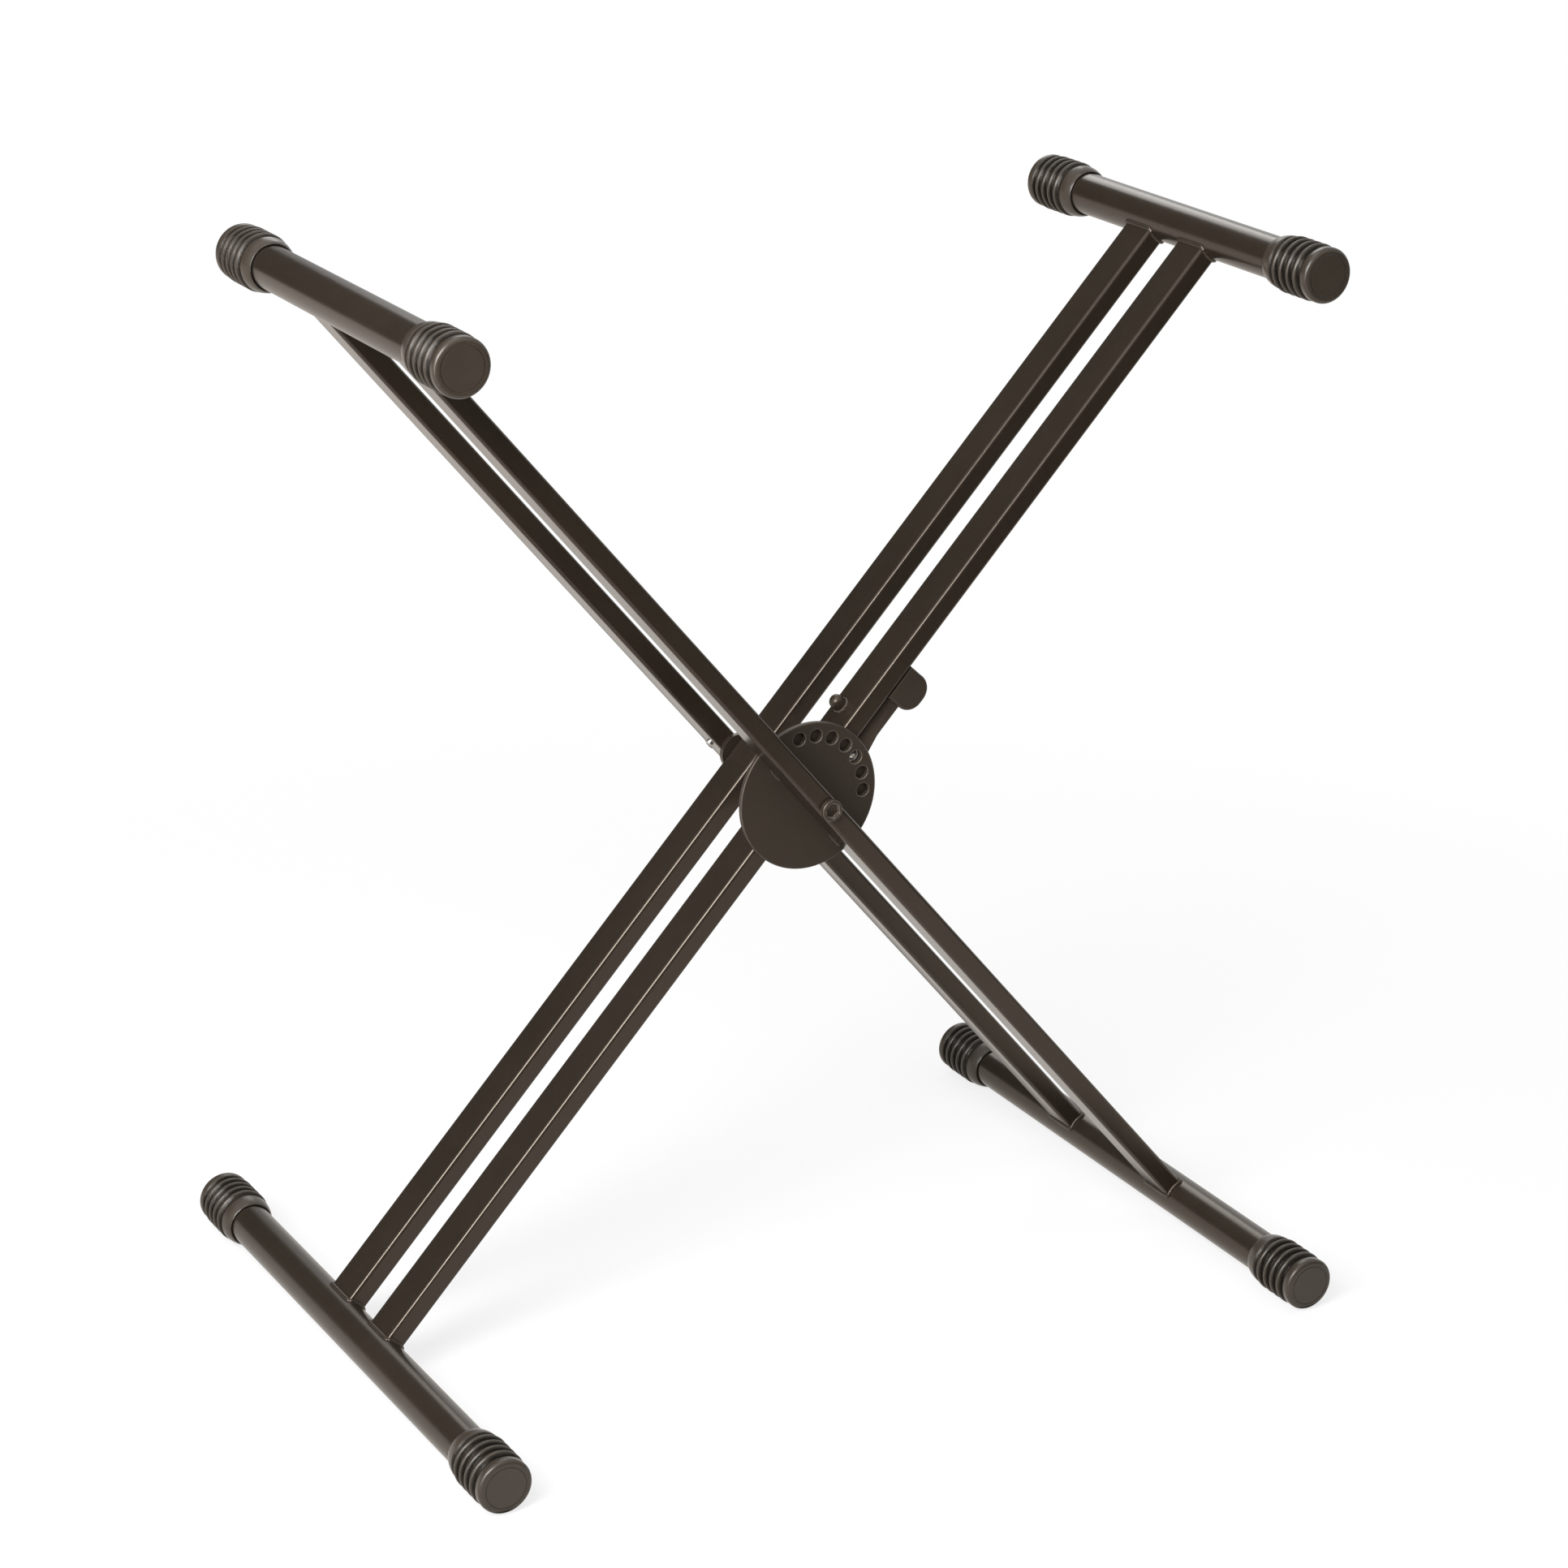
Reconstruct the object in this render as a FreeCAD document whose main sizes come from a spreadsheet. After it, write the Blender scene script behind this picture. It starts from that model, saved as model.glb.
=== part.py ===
import FreeCAD, Part
import math
import os
import re
import Sketcher
from FreeCAD import Placement, Rotation, Vector

# Folding keyboard stand with doubled crossed legs.
# Frame: +Z up, X along the stand's width, the player stands on the -Y side.
# Origin: on the floor, under the middle of the hub bolt.
# The outer frame runs from the upper left arm to the lower right foot and carries the lock disc;
# the inner frame nests between its legs and runs from the lower left foot to the upper right arm.

doc = FreeCAD.newDocument("KeyboardStand")
sheet = doc.addObject("Spreadsheet::Sheet", "sizes")

driving = [
    ("reach", 485, "hub axis to the axis of a foot bar or an arm bar"),
    ("lean", 48.5, "angle of every leg above the floor, degrees"),
    ("leg_deep", 30, "leg tube, measured along Y"),
    ("leg_wide", 15, "leg tube, measured in the plane of the cross"),
    ("leg_round", 2.5, "outer corner radius of a leg tube"),
    ("leg_wall", 1.2, "wall of a leg tube"),
    ("bar_dia", 30, "round foot and arm bars"),
    ("bar_wall", 1.2, "wall of a round bar"),
    ("foot_over", 104.75, "bare foot bar between the outer leg and a cap"),
    ("arm_over", 37.25, "bare arm bar between the outer leg and a cap"),
    ("inner_gap", 34.5, "clear space between the two inner legs"),
    ("weld_gap", 0.05, "gap that a weld closes"),
    ("weld_bead", 2.4, "leg of a weld bead"),
    ("cap_wall", 5, "rubber cap over its ribs and end band"),
    ("cap_lip", 1.5, "rubber cap at its open mouth"),
    ("cap_end", 6, "rubber between the bar's end and the end face"),
    ("cap_flare", 11.1, "length of the cap's tapered mouth"),
    ("cap_step", 1.3, "drop in radius where the tapered mouth begins"),
    ("cap_slope", 2.2, "length of that drop"),
    ("cap_round", 2.5, "rounding of the end face's rim"),
    ("cap_fit", 0.05, "radial fit of a cap on its bar"),
    ("cap_band", 10, "end face to the middle of the first grip groove"),
    ("cap_neck", 2.4, "middle of the last grip groove to the tapered mouth"),
    ("rib_pitch", 7.75, "spacing of the grip grooves"),
    ("rib_count", 5, "grip grooves"),
    ("groove_dia", 4.4, "groove's round section"),
    ("groove_deep", 1.5, "depth of a groove"),
    ("disc_dia", 107, "lock disc"),
    ("disc_thick", 3.5, "lock disc and the spacer opposite"),
    ("disc_edge", 0.7, "rounding of the disc's rim"),
    ("glide_thick", 0.5, "plastic glide washer and glide disc"),
    ("glide_dia", 28, "plastic glide washer at the rear"),
    ("wear_set", 1.5, "lock disc's rim to the rim of the plastic glide disc behind it"),
    ("spacer_dia", 28, "spacer on the rear outer leg"),
    ("hole_rim", 10, "disc's rim to the middle of a lock hole"),
    ("hole_dia", 9.4, "lock hole"),
    ("hole_pitch", 17.4, "turn between two lock holes, degrees"),
    ("holes_above", 4, "lock holes for taller settings"),
    ("holes_below", 2, "lock holes for lower settings"),
    ("hole_break", 0.4, "chamfer of a lock hole"),
    ("bolt_dia", 8, "hub bolt"),
    ("bolt_run", 0.08, "radial running clearance of the hub bolt"),
    ("bolt_head", 15.6, "hub bolt's head"),
    ("bolt_head_high", 3.6, "hub bolt's head"),
    ("bolt_head_round", 1.2, "rounding of the hub bolt's head"),
    ("bolt_socket", 10, "hex socket across flats"),
    ("bolt_socket_deep", 2.6, "hex socket"),
    ("hub_nut_flats", 13, "hub nut across flats"),
    ("hub_nut_high", 5.5, "hub nut's hexagon"),
    ("hub_collar", 2.5, "height of the hub nut's locking collar"),
    ("hub_collar_dia", 11.4, "hub nut's locking collar"),
    ("hub_washer_dia", 16, "steel washer under the hub nut"),
    ("hub_washer_thick", 1.6, "steel washer under the hub nut"),
    ("thread_tail", 2, "thread beyond a nut"),
    ("sleeve_wall", 1.2, "steel sleeve through both inner legs"),
    ("bush_wall", 0.9, "bushes inside the outer legs"),
    ("pin_dia", 8.6, "lock pin"),
    ("pin_long", 38, "lock pin"),
    ("pin_clear", 0.48, "lock pin clear of the inner leg"),
    ("pin_back", 0.3, "released lock pin's tip behind the lock disc"),
    ("pin_run", 0.05, "radial running clearance of the lock pin"),
    ("pin_point", 1.2, "chamfer of the lock pin's tip"),
    ("pin_dimple", 2.6, "drilled dimple in the lock pin's tip"),
    ("lug_thick", 3, "plates that guide the lock pin"),
    ("lug_edge", 1.6, "metal round the lock pin's hole in a plate"),
    ("lug_front", 6.5, "first plate behind the inner leg's front face"),
    ("lug_round", 3.2, "rounded corners of a plate"),
    ("link_dia", 4, "cross pin through the lock pin"),
    ("link_run", 0.3, "radial clearance of the cross pin in the lever"),
    ("link_lead", 2.7, "cross pin behind the lever's axis, released"),
    ("link_play", 0.55, "cross pin clear of the second plate, released"),
    ("link_proud", 1.5, "cross pin beyond the lever"),
    ("lever_arm", 23.27, "lever's axis to the cross pin, along the leg"),
    ("lever_gap", 0.5, "washer between leg and lever"),
    ("lever_wall", 2, "sheet of the lever"),
    ("lever_fold", 1.6, "outside radius of the lever's folds"),
    ("lever_width", 14, "lever across its two flanges"),
    ("lever_set", 3.25, "lever's web behind the leg's front face"),
    ("lever_flange", 9, "lever's axis to the rear edge of its flanges"),
    ("lever_slim", 10.7, "depth of the lever at the grip"),
    ("lever_splay", 4.4, "outward splay of the lever's lower end"),
    ("lever_bend", 6, "lever's axis down to where the splay begins"),
    ("lever_slope", 9, "lever's axis up to where the flanges begin to slim"),
    ("slope_end", 4, "slim flanges showing below the grip"),
    ("web_back", 8.27, "web's lower end above the cross pin"),
    ("tail_past", 6.23, "outer flange beyond the cross pin"),
    ("tail_set", 4.5, "front edge of that tail behind the web's face"),
    ("lever_bolt_dia", 6, "lever's bolt"),
    ("lever_bolt_run", 0.08, "radial running clearance of the lever's bolt"),
    ("lever_bolt_head", 10.5, "domed head of the lever's bolt"),
    ("lever_bolt_high", 9, "domed head of the lever's bolt"),
    ("lever_dome", 5, "dome of the lever bolt's head"),
    ("lever_washer_dia", 12, "washers on the lever's bolt"),
    ("lever_washer_thick", 1, "washer under the domed head"),
    ("lever_nut_flats", 10, "nut on the lever's bolt"),
    ("lever_nut_high", 4, "nut on the lever's bolt"),
    ("lever_collar", 1, "height of that nut's locking collar"),
    ("lever_collar_dia", 8.8, "that nut's locking collar"),
    ("grip_low", 23.3, "lever's axis to the grip's lower edge"),
    ("grip_long", 27.2, "grip, along the leg"),
    ("grip_top", 3, "grip beyond the lever's upper end"),
    ("grip_side", 10.7, "grip beyond the lever's outer flange"),
    ("grip_thick", 15, "grip, front to back"),
    ("grip_lid", 3.5, "grip in front of the lever's web"),
    ("grip_curve", 12, "round of the grip's outer corners"),
    ("grip_soft", 2, "rounding of the grip's front edge"),
    ("stud_up", 12, "side screw below the hub on the rear outer leg"),
    ("stud_dia", 5.6, "side screw's head"),
    ("stud_high", 1.8, "side screw's head"),
    ("stud_round", 0.9, "rounding of the side screw's head"),
    ("stud_shank", 3.5, "side screw's shank"),
    ("stud_long", 2.4, "side screw's shank"),
    ("bead_above", 32, "disc weld above the hub, along the outer leg"),
    ("bead_below", 41.7, "disc weld below the hub, along the outer leg"),
    ("bead_long", 14, "disc weld, end to end"),
]
for row, (alias, value, meaning) in enumerate(driving, 1):
    sheet.set("A%d" % row, str(value))
    sheet.setAlias("A%d" % row, alias)
    sheet.set("B%d" % row, meaning)
doc.recompute()

size = {alias: float(sheet.get(alias)) for alias, value, meaning in driving}
word = re.compile(r"\b(" + "|".join(size) + r")\b")

# Formulas that several pieces share.
cap_dia = "(bar_dia + 2 * cap_wall)"
cap_barrel = "(cap_band + (rib_count - 1) * rib_pitch + cap_neck)"
hole_ring = "(disc_dia / 2 - hole_rim)"
pin_down = "(leg_wide / 2 + pin_clear + pin_dia / 2)"
pin_up = "sqrt(%s ^ 2 - %s ^ 2)" % (hole_ring, pin_down)
hub_fit = "(bolt_dia + 2 * bolt_run)"
bush_dia = "(%s + 2 * bush_wall)" % hub_fit
sleeve_dia = "(%s + 2 * sleeve_wall)" % hub_fit
lug_front_back = "(leg_deep - leg_round - lug_thick)"
lever_deep = "(%s - link_play - link_dia / 2 - link_lead)" % lug_front_back
lever_front = "(%s - lever_set)" % lever_deep
lever_near = "(leg_wide / 2 + lever_gap)"
lever_far = "(%s + lever_width)" % lever_near
inner_face = "(inner_gap / 2 + leg_deep)"
outer_face = "(%s + glide_thick + disc_thick + leg_deep)" % inner_face


def bound(formula):
    """The formula with every size name turned into its cell in the sheet."""
    return word.sub(r"<<sizes>>.\1", formula)


def value(formula):
    return float(sheet.evalExpression(bound(formula)))


# Depths along Y, all measured from the middle plane.
inner_mid = value("(inner_gap + leg_deep) / 2")
inner_front = value(inner_face)
disc_back = value(inner_face + " + glide_thick")
disc_front = value(inner_face + " + glide_thick + disc_thick")
outer_mid = value(outer_face + " - leg_deep / 2")
outer_front = value(outer_face)
cap_long = cap_barrel + " + cap_flare"
cap_faces = {bar: value("%s + %s_over + %s" % (outer_face, bar, cap_long)) for bar in ("foot", "arm")}
hub_high = value("reach * sin(lean) + %s / 2" % cap_dia)

hub = Vector(0, 0, hub_high)
# Local axes of a frame: X along its legs, Y through the hub, Z across the legs.
# The outer frame's feet and the inner frame's arms lie at +X.
outer_frame = Placement(hub, Rotation(Vector(0, 1, 0), size["lean"]))
inner_frame = Placement(hub, Rotation(Vector(0, 1, 0), -size["lean"]))
lever_frame = inner_frame * Placement(
    Vector(value(pin_up + " + lever_arm"), value(lever_deep) - inner_front, 0), Rotation())

X_AXIS = Vector(1, 0, 0)
Y_AXIS = Vector(0, 1, 0)
CLOSE = 1e-4  # two numbers closer than this count as equal
made = []


def bind(thing, prop, formula):
    """Tie one property of a thing to the sheet."""
    thing.setExpression(prop, bound(formula))


def new_body(name, place):
    body = doc.addObject("PartDesign::Body", name)
    body.Label = name
    body.Placement = place
    made.append(body)
    return body


def new_sketch(body, name, role, lift=None):
    """Sketch on one of the body's own planes, lifted along the plane's normal."""
    sketch = body.newObject("Sketcher::SketchObject", body.Name + "_" + name)
    plane = [feature for feature in body.Origin.OriginFeatures if feature.Role == role]
    sketch.AttachmentSupport = [(plane[0], "")]
    sketch.MapMode = "FlatFace"
    if lift:
        bind(sketch, "AttachmentOffset.Base.z", lift)
    return sketch


def hold_point(sketch, geometry, point, across, up):
    for kind, formula in (("DistanceX", across), ("DistanceY", up)):
        index = sketch.addConstraint(Sketcher.Constraint(kind, -1, 1, geometry, point, 1.0))
        bind(sketch, "Constraints[%d]" % index, formula)


def outline(sketch, corners):
    """Closed polygon whose corners are tied to formulas."""
    first = sketch.GeometryCount
    count = len(corners)
    for i in range(count):
        start, end = (Vector(math.cos(2 * math.pi * k / count), math.sin(2 * math.pi * k / count), 0)
                      for k in (i, i + 1))
        sketch.addGeometry(Part.LineSegment(start, end))
    for i in range(count):
        after = first + (i + 1) % count
        sketch.addConstraint(Sketcher.Constraint("Coincident", first + i, 2, after, 1))
        hold_point(sketch, first + i, 1, *corners[i])


def box_outline(sketch, left, right, low, high):
    outline(sketch, [(left, low), (right, low), (right, high), (left, high)])


def ring(sketch, across, up, diameter):
    circle = sketch.addGeometry(Part.Circle(Vector(0, 0, 0), Vector(0, 0, 1), 1))
    hold_point(sketch, circle, 3, across, up)
    index = sketch.addConstraint(Sketcher.Constraint("Diameter", circle, 2.0))
    bind(sketch, "Constraints[%d]" % index, diameter)


def hexagon(sketch, flats):
    corner = "%s / cos(30) / 2 * %s(%d)"
    outline(sketch, [(corner % (flats, "cos", turn), corner % (flats, "sin", turn))
                     for turn in range(0, 360, 60)])


def pad(body, sketch, length, both_ways=False, reverse=False):
    feature = body.newObject("PartDesign::Pad", sketch.Name + "_pad")
    feature.Profile = sketch
    feature.SideType = "Symmetric" if both_ways else "One side"
    feature.Reversed = reverse
    bind(feature, "Length", length)
    doc.recompute()
    return feature


def pocket(body, sketch, length=None):
    """Cut along the plane's negative normal, or right through both ways where no length is given."""
    before = body.Shape.Volume
    feature = body.newObject("PartDesign::Pocket", sketch.Name + "_cut")
    feature.Profile = sketch
    if length:
        bind(feature, "Length", length)
    else:
        feature.Type = "ThroughAll"
        feature.SideType = "Symmetric"
    doc.recompute()
    if body.Shape.Volume >= before:
        raise RuntimeError(feature.Name + " removed nothing")
    return feature


def spin(body, sketch, kind="PartDesign::Revolution"):
    feature = body.newObject(kind, sketch.Name + "_turn")
    feature.Profile = sketch
    feature.ReferenceAxis = (sketch, ["V_Axis"])
    feature.Angle = 360
    doc.recompute()
    return feature


def soften(body, wanted, radius, kind="PartDesign::Fillet"):
    """Round or chamfer the edges of the body's last feature that pass the test."""
    base = body.Tip
    names = ["Edge%d" % i for i, edge in enumerate(base.Shape.Edges, 1) if wanted(edge)]
    feature = body.newObject(kind, "%s_soft%d" % (body.Name, len(body.Group)))
    feature.Base = (base, names)
    bind(feature, "Radius" if kind == "PartDesign::Fillet" else "Size", radius)
    doc.recompute()
    return feature


def near(value, target):
    return abs(value - target) < CLOSE


def along(edge, axis):
    return isinstance(edge.Curve, Part.Line) and near(abs(edge.Curve.Direction.dot(axis)), 1)


def circle_of(edge, radius):
    return isinstance(edge.Curve, Part.Circle) and near(edge.Curve.Radius, radius)


def turned(frame, *place):
    return frame * Placement(Vector(*place), Rotation())


# ---------------------------------------------------------------- legs and bars

def leg(name, frame, y_mid, hub_bore):
    """Flat tube across the hub, coped at both ends to sit on the round bars."""
    body = new_body(name, turned(frame, 0, y_mid, 0))
    section = new_sketch(body, "section", "YZ_Plane")
    box_outline(section, "-leg_deep / 2", "leg_deep / 2", "-leg_wide / 2", "leg_wide / 2")
    box_outline(section, "leg_wall - leg_deep / 2", "leg_deep / 2 - leg_wall",
                "leg_wall - leg_wide / 2", "leg_wide / 2 - leg_wall")
    pad(body, section, "2 * reach", both_ways=True)
    outside = size["leg_deep"] / 2
    soften(body, lambda e: along(e, X_AXIS) and near(abs(e.CenterOfMass.y), outside), "leg_round")
    inside = outside - size["leg_wall"]
    soften(body, lambda e: along(e, X_AXIS) and near(abs(e.CenterOfMass.y), inside),
           "leg_round - leg_wall")
    cope = new_sketch(body, "cope", "XZ_Plane")
    for end in ("-reach", "reach"):
        ring(cope, end, "0", "bar_dia + 2 * weld_gap")
    pocket(body, cope)
    bore = new_sketch(body, "bore", "XZ_Plane")
    ring(bore, "0", "0", hub_bore)
    pocket(body, bore)
    return body


def bar(name, frame, end, kind):
    """Round foot or arm bar, open at both ends inside its caps."""
    body = new_body(name, turned(frame, end * size["reach"], 0, 0))
    section = new_sketch(body, "section", "XZ_Plane")
    ring(section, "0", "0", "bar_dia")
    ring(section, "0", "0", "bar_dia - 2 * bar_wall")
    half = "(%s + %s_over + %s - cap_end)" % (outer_face, kind, cap_long)
    pad(body, section, "2 * " + half, both_ways=True)


def cap(name, frame, end, side, kind):
    """Ribbed rubber cap; its end face is at local y = 0 and its mouth points to the middle."""
    place = turned(frame, end * size["reach"], side * cap_faces[kind], 0)
    if side > 0:
        place = place * Placement(Vector(), Rotation(Vector(0, 0, 1), 180))
    body = new_body(name, place)
    shell = new_sketch(body, "shell", "XY_Plane")
    bore = "bar_dia / 2 + cap_fit"
    outside = cap_dia + " / 2"
    outline(shell, [("0", "0"), (outside, "0"), (outside, cap_barrel),
                    (outside + " - cap_step", cap_barrel + " + cap_slope"),
                    ("bar_dia / 2 + cap_lip", cap_long), (bore, cap_long), (bore, "cap_end"),
                    ("0", "cap_end")])
    spin(body, shell)
    rim = value(outside)
    soften(body, lambda e: circle_of(e, rim) and near(e.CenterOfMass.y, 0), "cap_round")
    groove = new_sketch(body, "groove", "XY_Plane")
    ring(groove, outside + " + groove_dia / 2 - groove_deep", "cap_band", "groove_dia")
    first = spin(body, groove, "PartDesign::Groove")
    ribs = body.newObject("PartDesign::LinearPattern", name + "_ribs")
    ribs.Originals = [first]
    along_y = [feature for feature in body.Origin.OriginFeatures if feature.Role == "Y_Axis"]
    ribs.Direction = (along_y[0], [""])
    bind(ribs, "Length", "rib_pitch * (rib_count - 1)")
    bind(ribs, "Occurrences", "rib_count")
    body.Tip = ribs
    doc.recompute()


frames = [
    ("outer", outer_frame, outer_mid, hub_fit, 1),
    ("inner", inner_frame, inner_mid, sleeve_dia + " + 2 * weld_gap", -1),
]
legs = {}
for frame_name, frame, y_mid, hub_bore, foot_end in frames:
    for side_name, side in (("front", -1), ("rear", 1)):
        name = "%s_%s_leg" % (frame_name, side_name)
        legs[name] = leg(name, frame, side * y_mid, hub_bore)
    for kind, end in (("foot", foot_end), ("arm", -foot_end)):
        bar("%s_%s_bar" % (frame_name, kind), frame, end, kind)
        for side_name, side in (("front", -1), ("rear", 1)):
            cap("%s_%s_cap_%s" % (frame_name, kind, side_name), frame, end, side, kind)


# ---------------------------------------------------------------- welds

def place_shape(name, shape, place):
    piece = doc.addObject("Part::Feature", name)
    piece.Label = name
    piece.Shape = shape
    piece.Placement = place
    made.append(piece)


def rod(length, wide, deep, corner):
    """Solid round-cornered bar along X, centred on the origin."""
    block = Part.makeBox(length, deep, wide, Vector(-length / 2, -deep / 2, -wide / 2))
    return block.makeFillet(corner, [edge for edge in block.Edges if along(edge, X_AXIS)])


def end_beads(y_mid, end):
    """Weld collars where the two legs of a frame meet a round bar, in the frame's own axes."""
    bead = size["weld_bead"]
    around = size["bar_dia"] / 2 + size["weld_gap"]
    beads = []
    for side in (-1, 1):
        grown = rod(2 * around, size["leg_wide"] + 2 * bead, size["leg_deep"] + 2 * bead,
                    size["leg_round"] + bead)
        core = rod(4 * around, size["leg_wide"], size["leg_deep"], size["leg_round"])
        low = Vector(around, -size["leg_deep"], 0)
        outer = Part.makeCylinder(around + bead, 2 * size["leg_deep"], low, Y_AXIS)
        inner = Part.makeCylinder(around, 2 * size["leg_deep"], low, Y_AXIS)
        collar = grown.common(outer).cut(core).cut(inner)
        collar.translate(Vector(-around, side * y_mid, 0))
        if end < 0:
            collar.rotate(Vector(0, 0, 0), Vector(0, 0, 1), 180)
        collar.translate(Vector(end * size["reach"], 0, 0))
        beads += collar.Solids
    return Part.makeCompound(beads)


for frame_name, frame, y_mid, hub_bore, foot_end in frames:
    for kind, end in (("foot", foot_end), ("arm", -foot_end)):
        place_shape("%s_%s_welds" % (frame_name, kind), end_beads(y_mid, end), frame)


def disc_beads():
    """Four short beads that hold the lock disc to the back of the front outer leg."""
    bead = size["weld_bead"]
    core = rod(2 * size["reach"], size["leg_wide"], size["leg_deep"], size["leg_round"])
    core.translate(Vector(0, -outer_mid, 0))
    behind = Part.makeBox(2 * size["reach"], size["disc_thick"], 4 * bead + size["leg_wide"],
                          Vector(-size["reach"], -disc_front, -2 * bead - size["leg_wide"] / 2))
    straight = (size["bead_long"] - 2 * bead) * X_AXIS
    beads = []
    for along_leg in (-size["bead_above"], size["bead_below"]):
        for side in (-1, 1):
            start = Vector(along_leg, -disc_front, side * size["leg_wide"] / 2) - straight / 2
            bead_shape = Part.makeCylinder(bead, straight.Length, start, X_AXIS)
            for tip in (start, start + straight):
                bead_shape = bead_shape.fuse(Part.makeSphere(bead, tip))
            beads += bead_shape.cut(core).cut(behind).removeSplitter().Solids
    return Part.makeCompound(beads)


place_shape("disc_welds", disc_beads(), outer_frame)


# ---------------------------------------------------------------- hub

def washer(name, place, outside, inside, thick):
    """Flat ring along Y whose front face is at local y = 0."""
    body = new_body(name, place)
    face = new_sketch(body, "face", "XZ_Plane")
    ring(face, "0", "0", outside)
    ring(face, "0", "0", inside)
    pad(body, face, thick, reverse=True)


def lock_disc():
    body = new_body("lock_disc", turned(outer_frame, 0, -disc_back, 0))
    plate = new_sketch(body, "plate", "XZ_Plane")
    ring(plate, "0", "0", "disc_dia")
    ring(plate, "0", "0", hub_fit)
    pad(body, plate, "disc_thick")
    soften(body, lambda e: circle_of(e, size["disc_dia"] / 2), "disc_edge")
    hole = new_sketch(body, "hole", "XZ_Plane")
    turn = "((2 * lean + holes_above * hole_pitch) * 1 deg - asin(%s / %s))" % (pin_down, hole_ring)
    ring(hole, "%s * cos(%s)" % (hole_ring, turn), "%s * sin(%s)" % (hole_ring, turn), "hole_dia")
    first = pocket(body, hole)
    holes = body.newObject("PartDesign::PolarPattern", "lock_disc_holes")
    holes.Originals = [first]
    about_y = [feature for feature in body.Origin.OriginFeatures if feature.Role == "Y_Axis"]
    holes.Axis = (about_y[0], [""])
    bind(holes, "Angle", "hole_pitch * (holes_above + holes_below)")
    bind(holes, "Occurrences", "holes_above + holes_below + 1")
    body.Tip = holes
    doc.recompute()
    soften(body, lambda e: circle_of(e, size["hole_dia"] / 2), "hole_break", "PartDesign::Chamfer")


def nut(name, place, kind, bore):
    """Hexagon with a round locking collar, along Y, seated at local y = 0."""
    body = new_body(name, place)
    blank = new_sketch(body, "blank", "XZ_Plane")
    hexagon(blank, kind + "_nut_flats")
    pad(body, blank, kind + "_nut_high", reverse=True)
    top = new_sketch(body, "top", "XZ_Plane")
    ring(top, "0", "0", kind + "_collar_dia")
    pad(body, top, "{0}_nut_high + {0}_collar".format(kind), reverse=True)
    hole = new_sketch(body, "hole", "XZ_Plane")
    ring(hole, "0", "0", bore)
    pocket(body, hole)


def hub_bolt():
    body = new_body("hub_bolt", turned(outer_frame, 0, -outer_front, 0))
    shape = new_sketch(body, "shape", "XY_Plane")
    tail = "2 * %s + hub_washer_thick + hub_nut_high + hub_collar + thread_tail" % outer_face
    outline(shape, [("0", "-bolt_head_high"), ("bolt_head / 2", "-bolt_head_high"),
                    ("bolt_head / 2", "0"), ("bolt_dia / 2", "0"), ("bolt_dia / 2", tail),
                    ("0", tail)])
    spin(body, shape)
    rim = size["bolt_head"] / 2
    crown = -size["bolt_head_high"]
    soften(body, lambda e: circle_of(e, rim) and near(e.CenterOfMass.y, crown), "bolt_head_round")
    socket = new_sketch(body, "socket", "XZ_Plane", "bolt_head_high")
    hexagon(socket, "bolt_socket")
    pocket(body, socket, "bolt_socket_deep")


lock_disc()
hub_bolt()
washer("rear_spacer", turned(outer_frame, 0, disc_back, 0), "spacer_dia", hub_fit, "disc_thick")
washer("hub_washer", turned(outer_frame, 0, outer_front, 0), "hub_washer_dia", hub_fit,
       "hub_washer_thick")
nut("hub_nut", turned(outer_frame, 0, outer_front + size["hub_washer_thick"], 0), "hub",
    "bolt_dia + 2 * weld_gap")
for side_name, y_mid in (("front", -outer_mid), ("rear", outer_mid)):
    half = size["leg_deep"] / 2 - size["leg_wall"]
    washer("%s_bush" % side_name, turned(outer_frame, 0, y_mid - half, 0), bush_dia, hub_fit,
           "leg_deep - 2 * leg_wall")
washer("hub_sleeve", turned(inner_frame, 0, -inner_front, 0), sleeve_dia, hub_fit,
       "2 * " + inner_face)
glide_bore = hub_fit + " + 2 * bolt_run"
washer("rear_glide", turned(inner_frame, 0, inner_front, 0), "glide_dia", glide_bore, "glide_thick")
washer("front_glide", turned(inner_frame, 0, -disc_back, 0), "disc_dia - 2 * wear_set", glide_bore,
       "glide_thick")
# The glide disc turns with the inner frame, so one hole lets the lock pin through.
pin_way = new_sketch(made[-1], "pin_way", "XZ_Plane")
ring(pin_way, pin_up, "-" + pin_down, "hole_dia")
pocket(made[-1], pin_way)


# ---------------------------------------------------------------- side screw on the rear outer leg

def side_screw():
    """Low round head on the leg's lower left face, with its shank through the wall."""
    place = outer_frame * Placement(Vector(-size["stud_up"], outer_mid, -size["leg_wide"] / 2),
                                    Rotation(X_AXIS, 90))
    body = new_body("side_screw", place)
    shape = new_sketch(body, "shape", "XY_Plane")
    outline(shape, [("0", "-stud_high"), ("stud_dia / 2", "-stud_high"), ("stud_dia / 2", "0"),
                    ("stud_shank / 2", "0"), ("stud_shank / 2", "stud_long"), ("0", "stud_long")])
    spin(body, shape)
    rim = size["stud_dia"] / 2
    crown = -size["stud_high"]
    soften(body, lambda e: circle_of(e, rim) and near(e.CenterOfMass.y, crown), "stud_round")
    hole = new_sketch(legs["outer_rear_leg"], "screw_hole", "XY_Plane", "-leg_wide / 4")
    ring(hole, "-stud_up", "0", "stud_shank + 2 * weld_gap")
    pocket(legs["outer_rear_leg"], hole, "leg_wide / 2")


side_screw()


# ---------------------------------------------------------------- lever, its bolt and its grip

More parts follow.
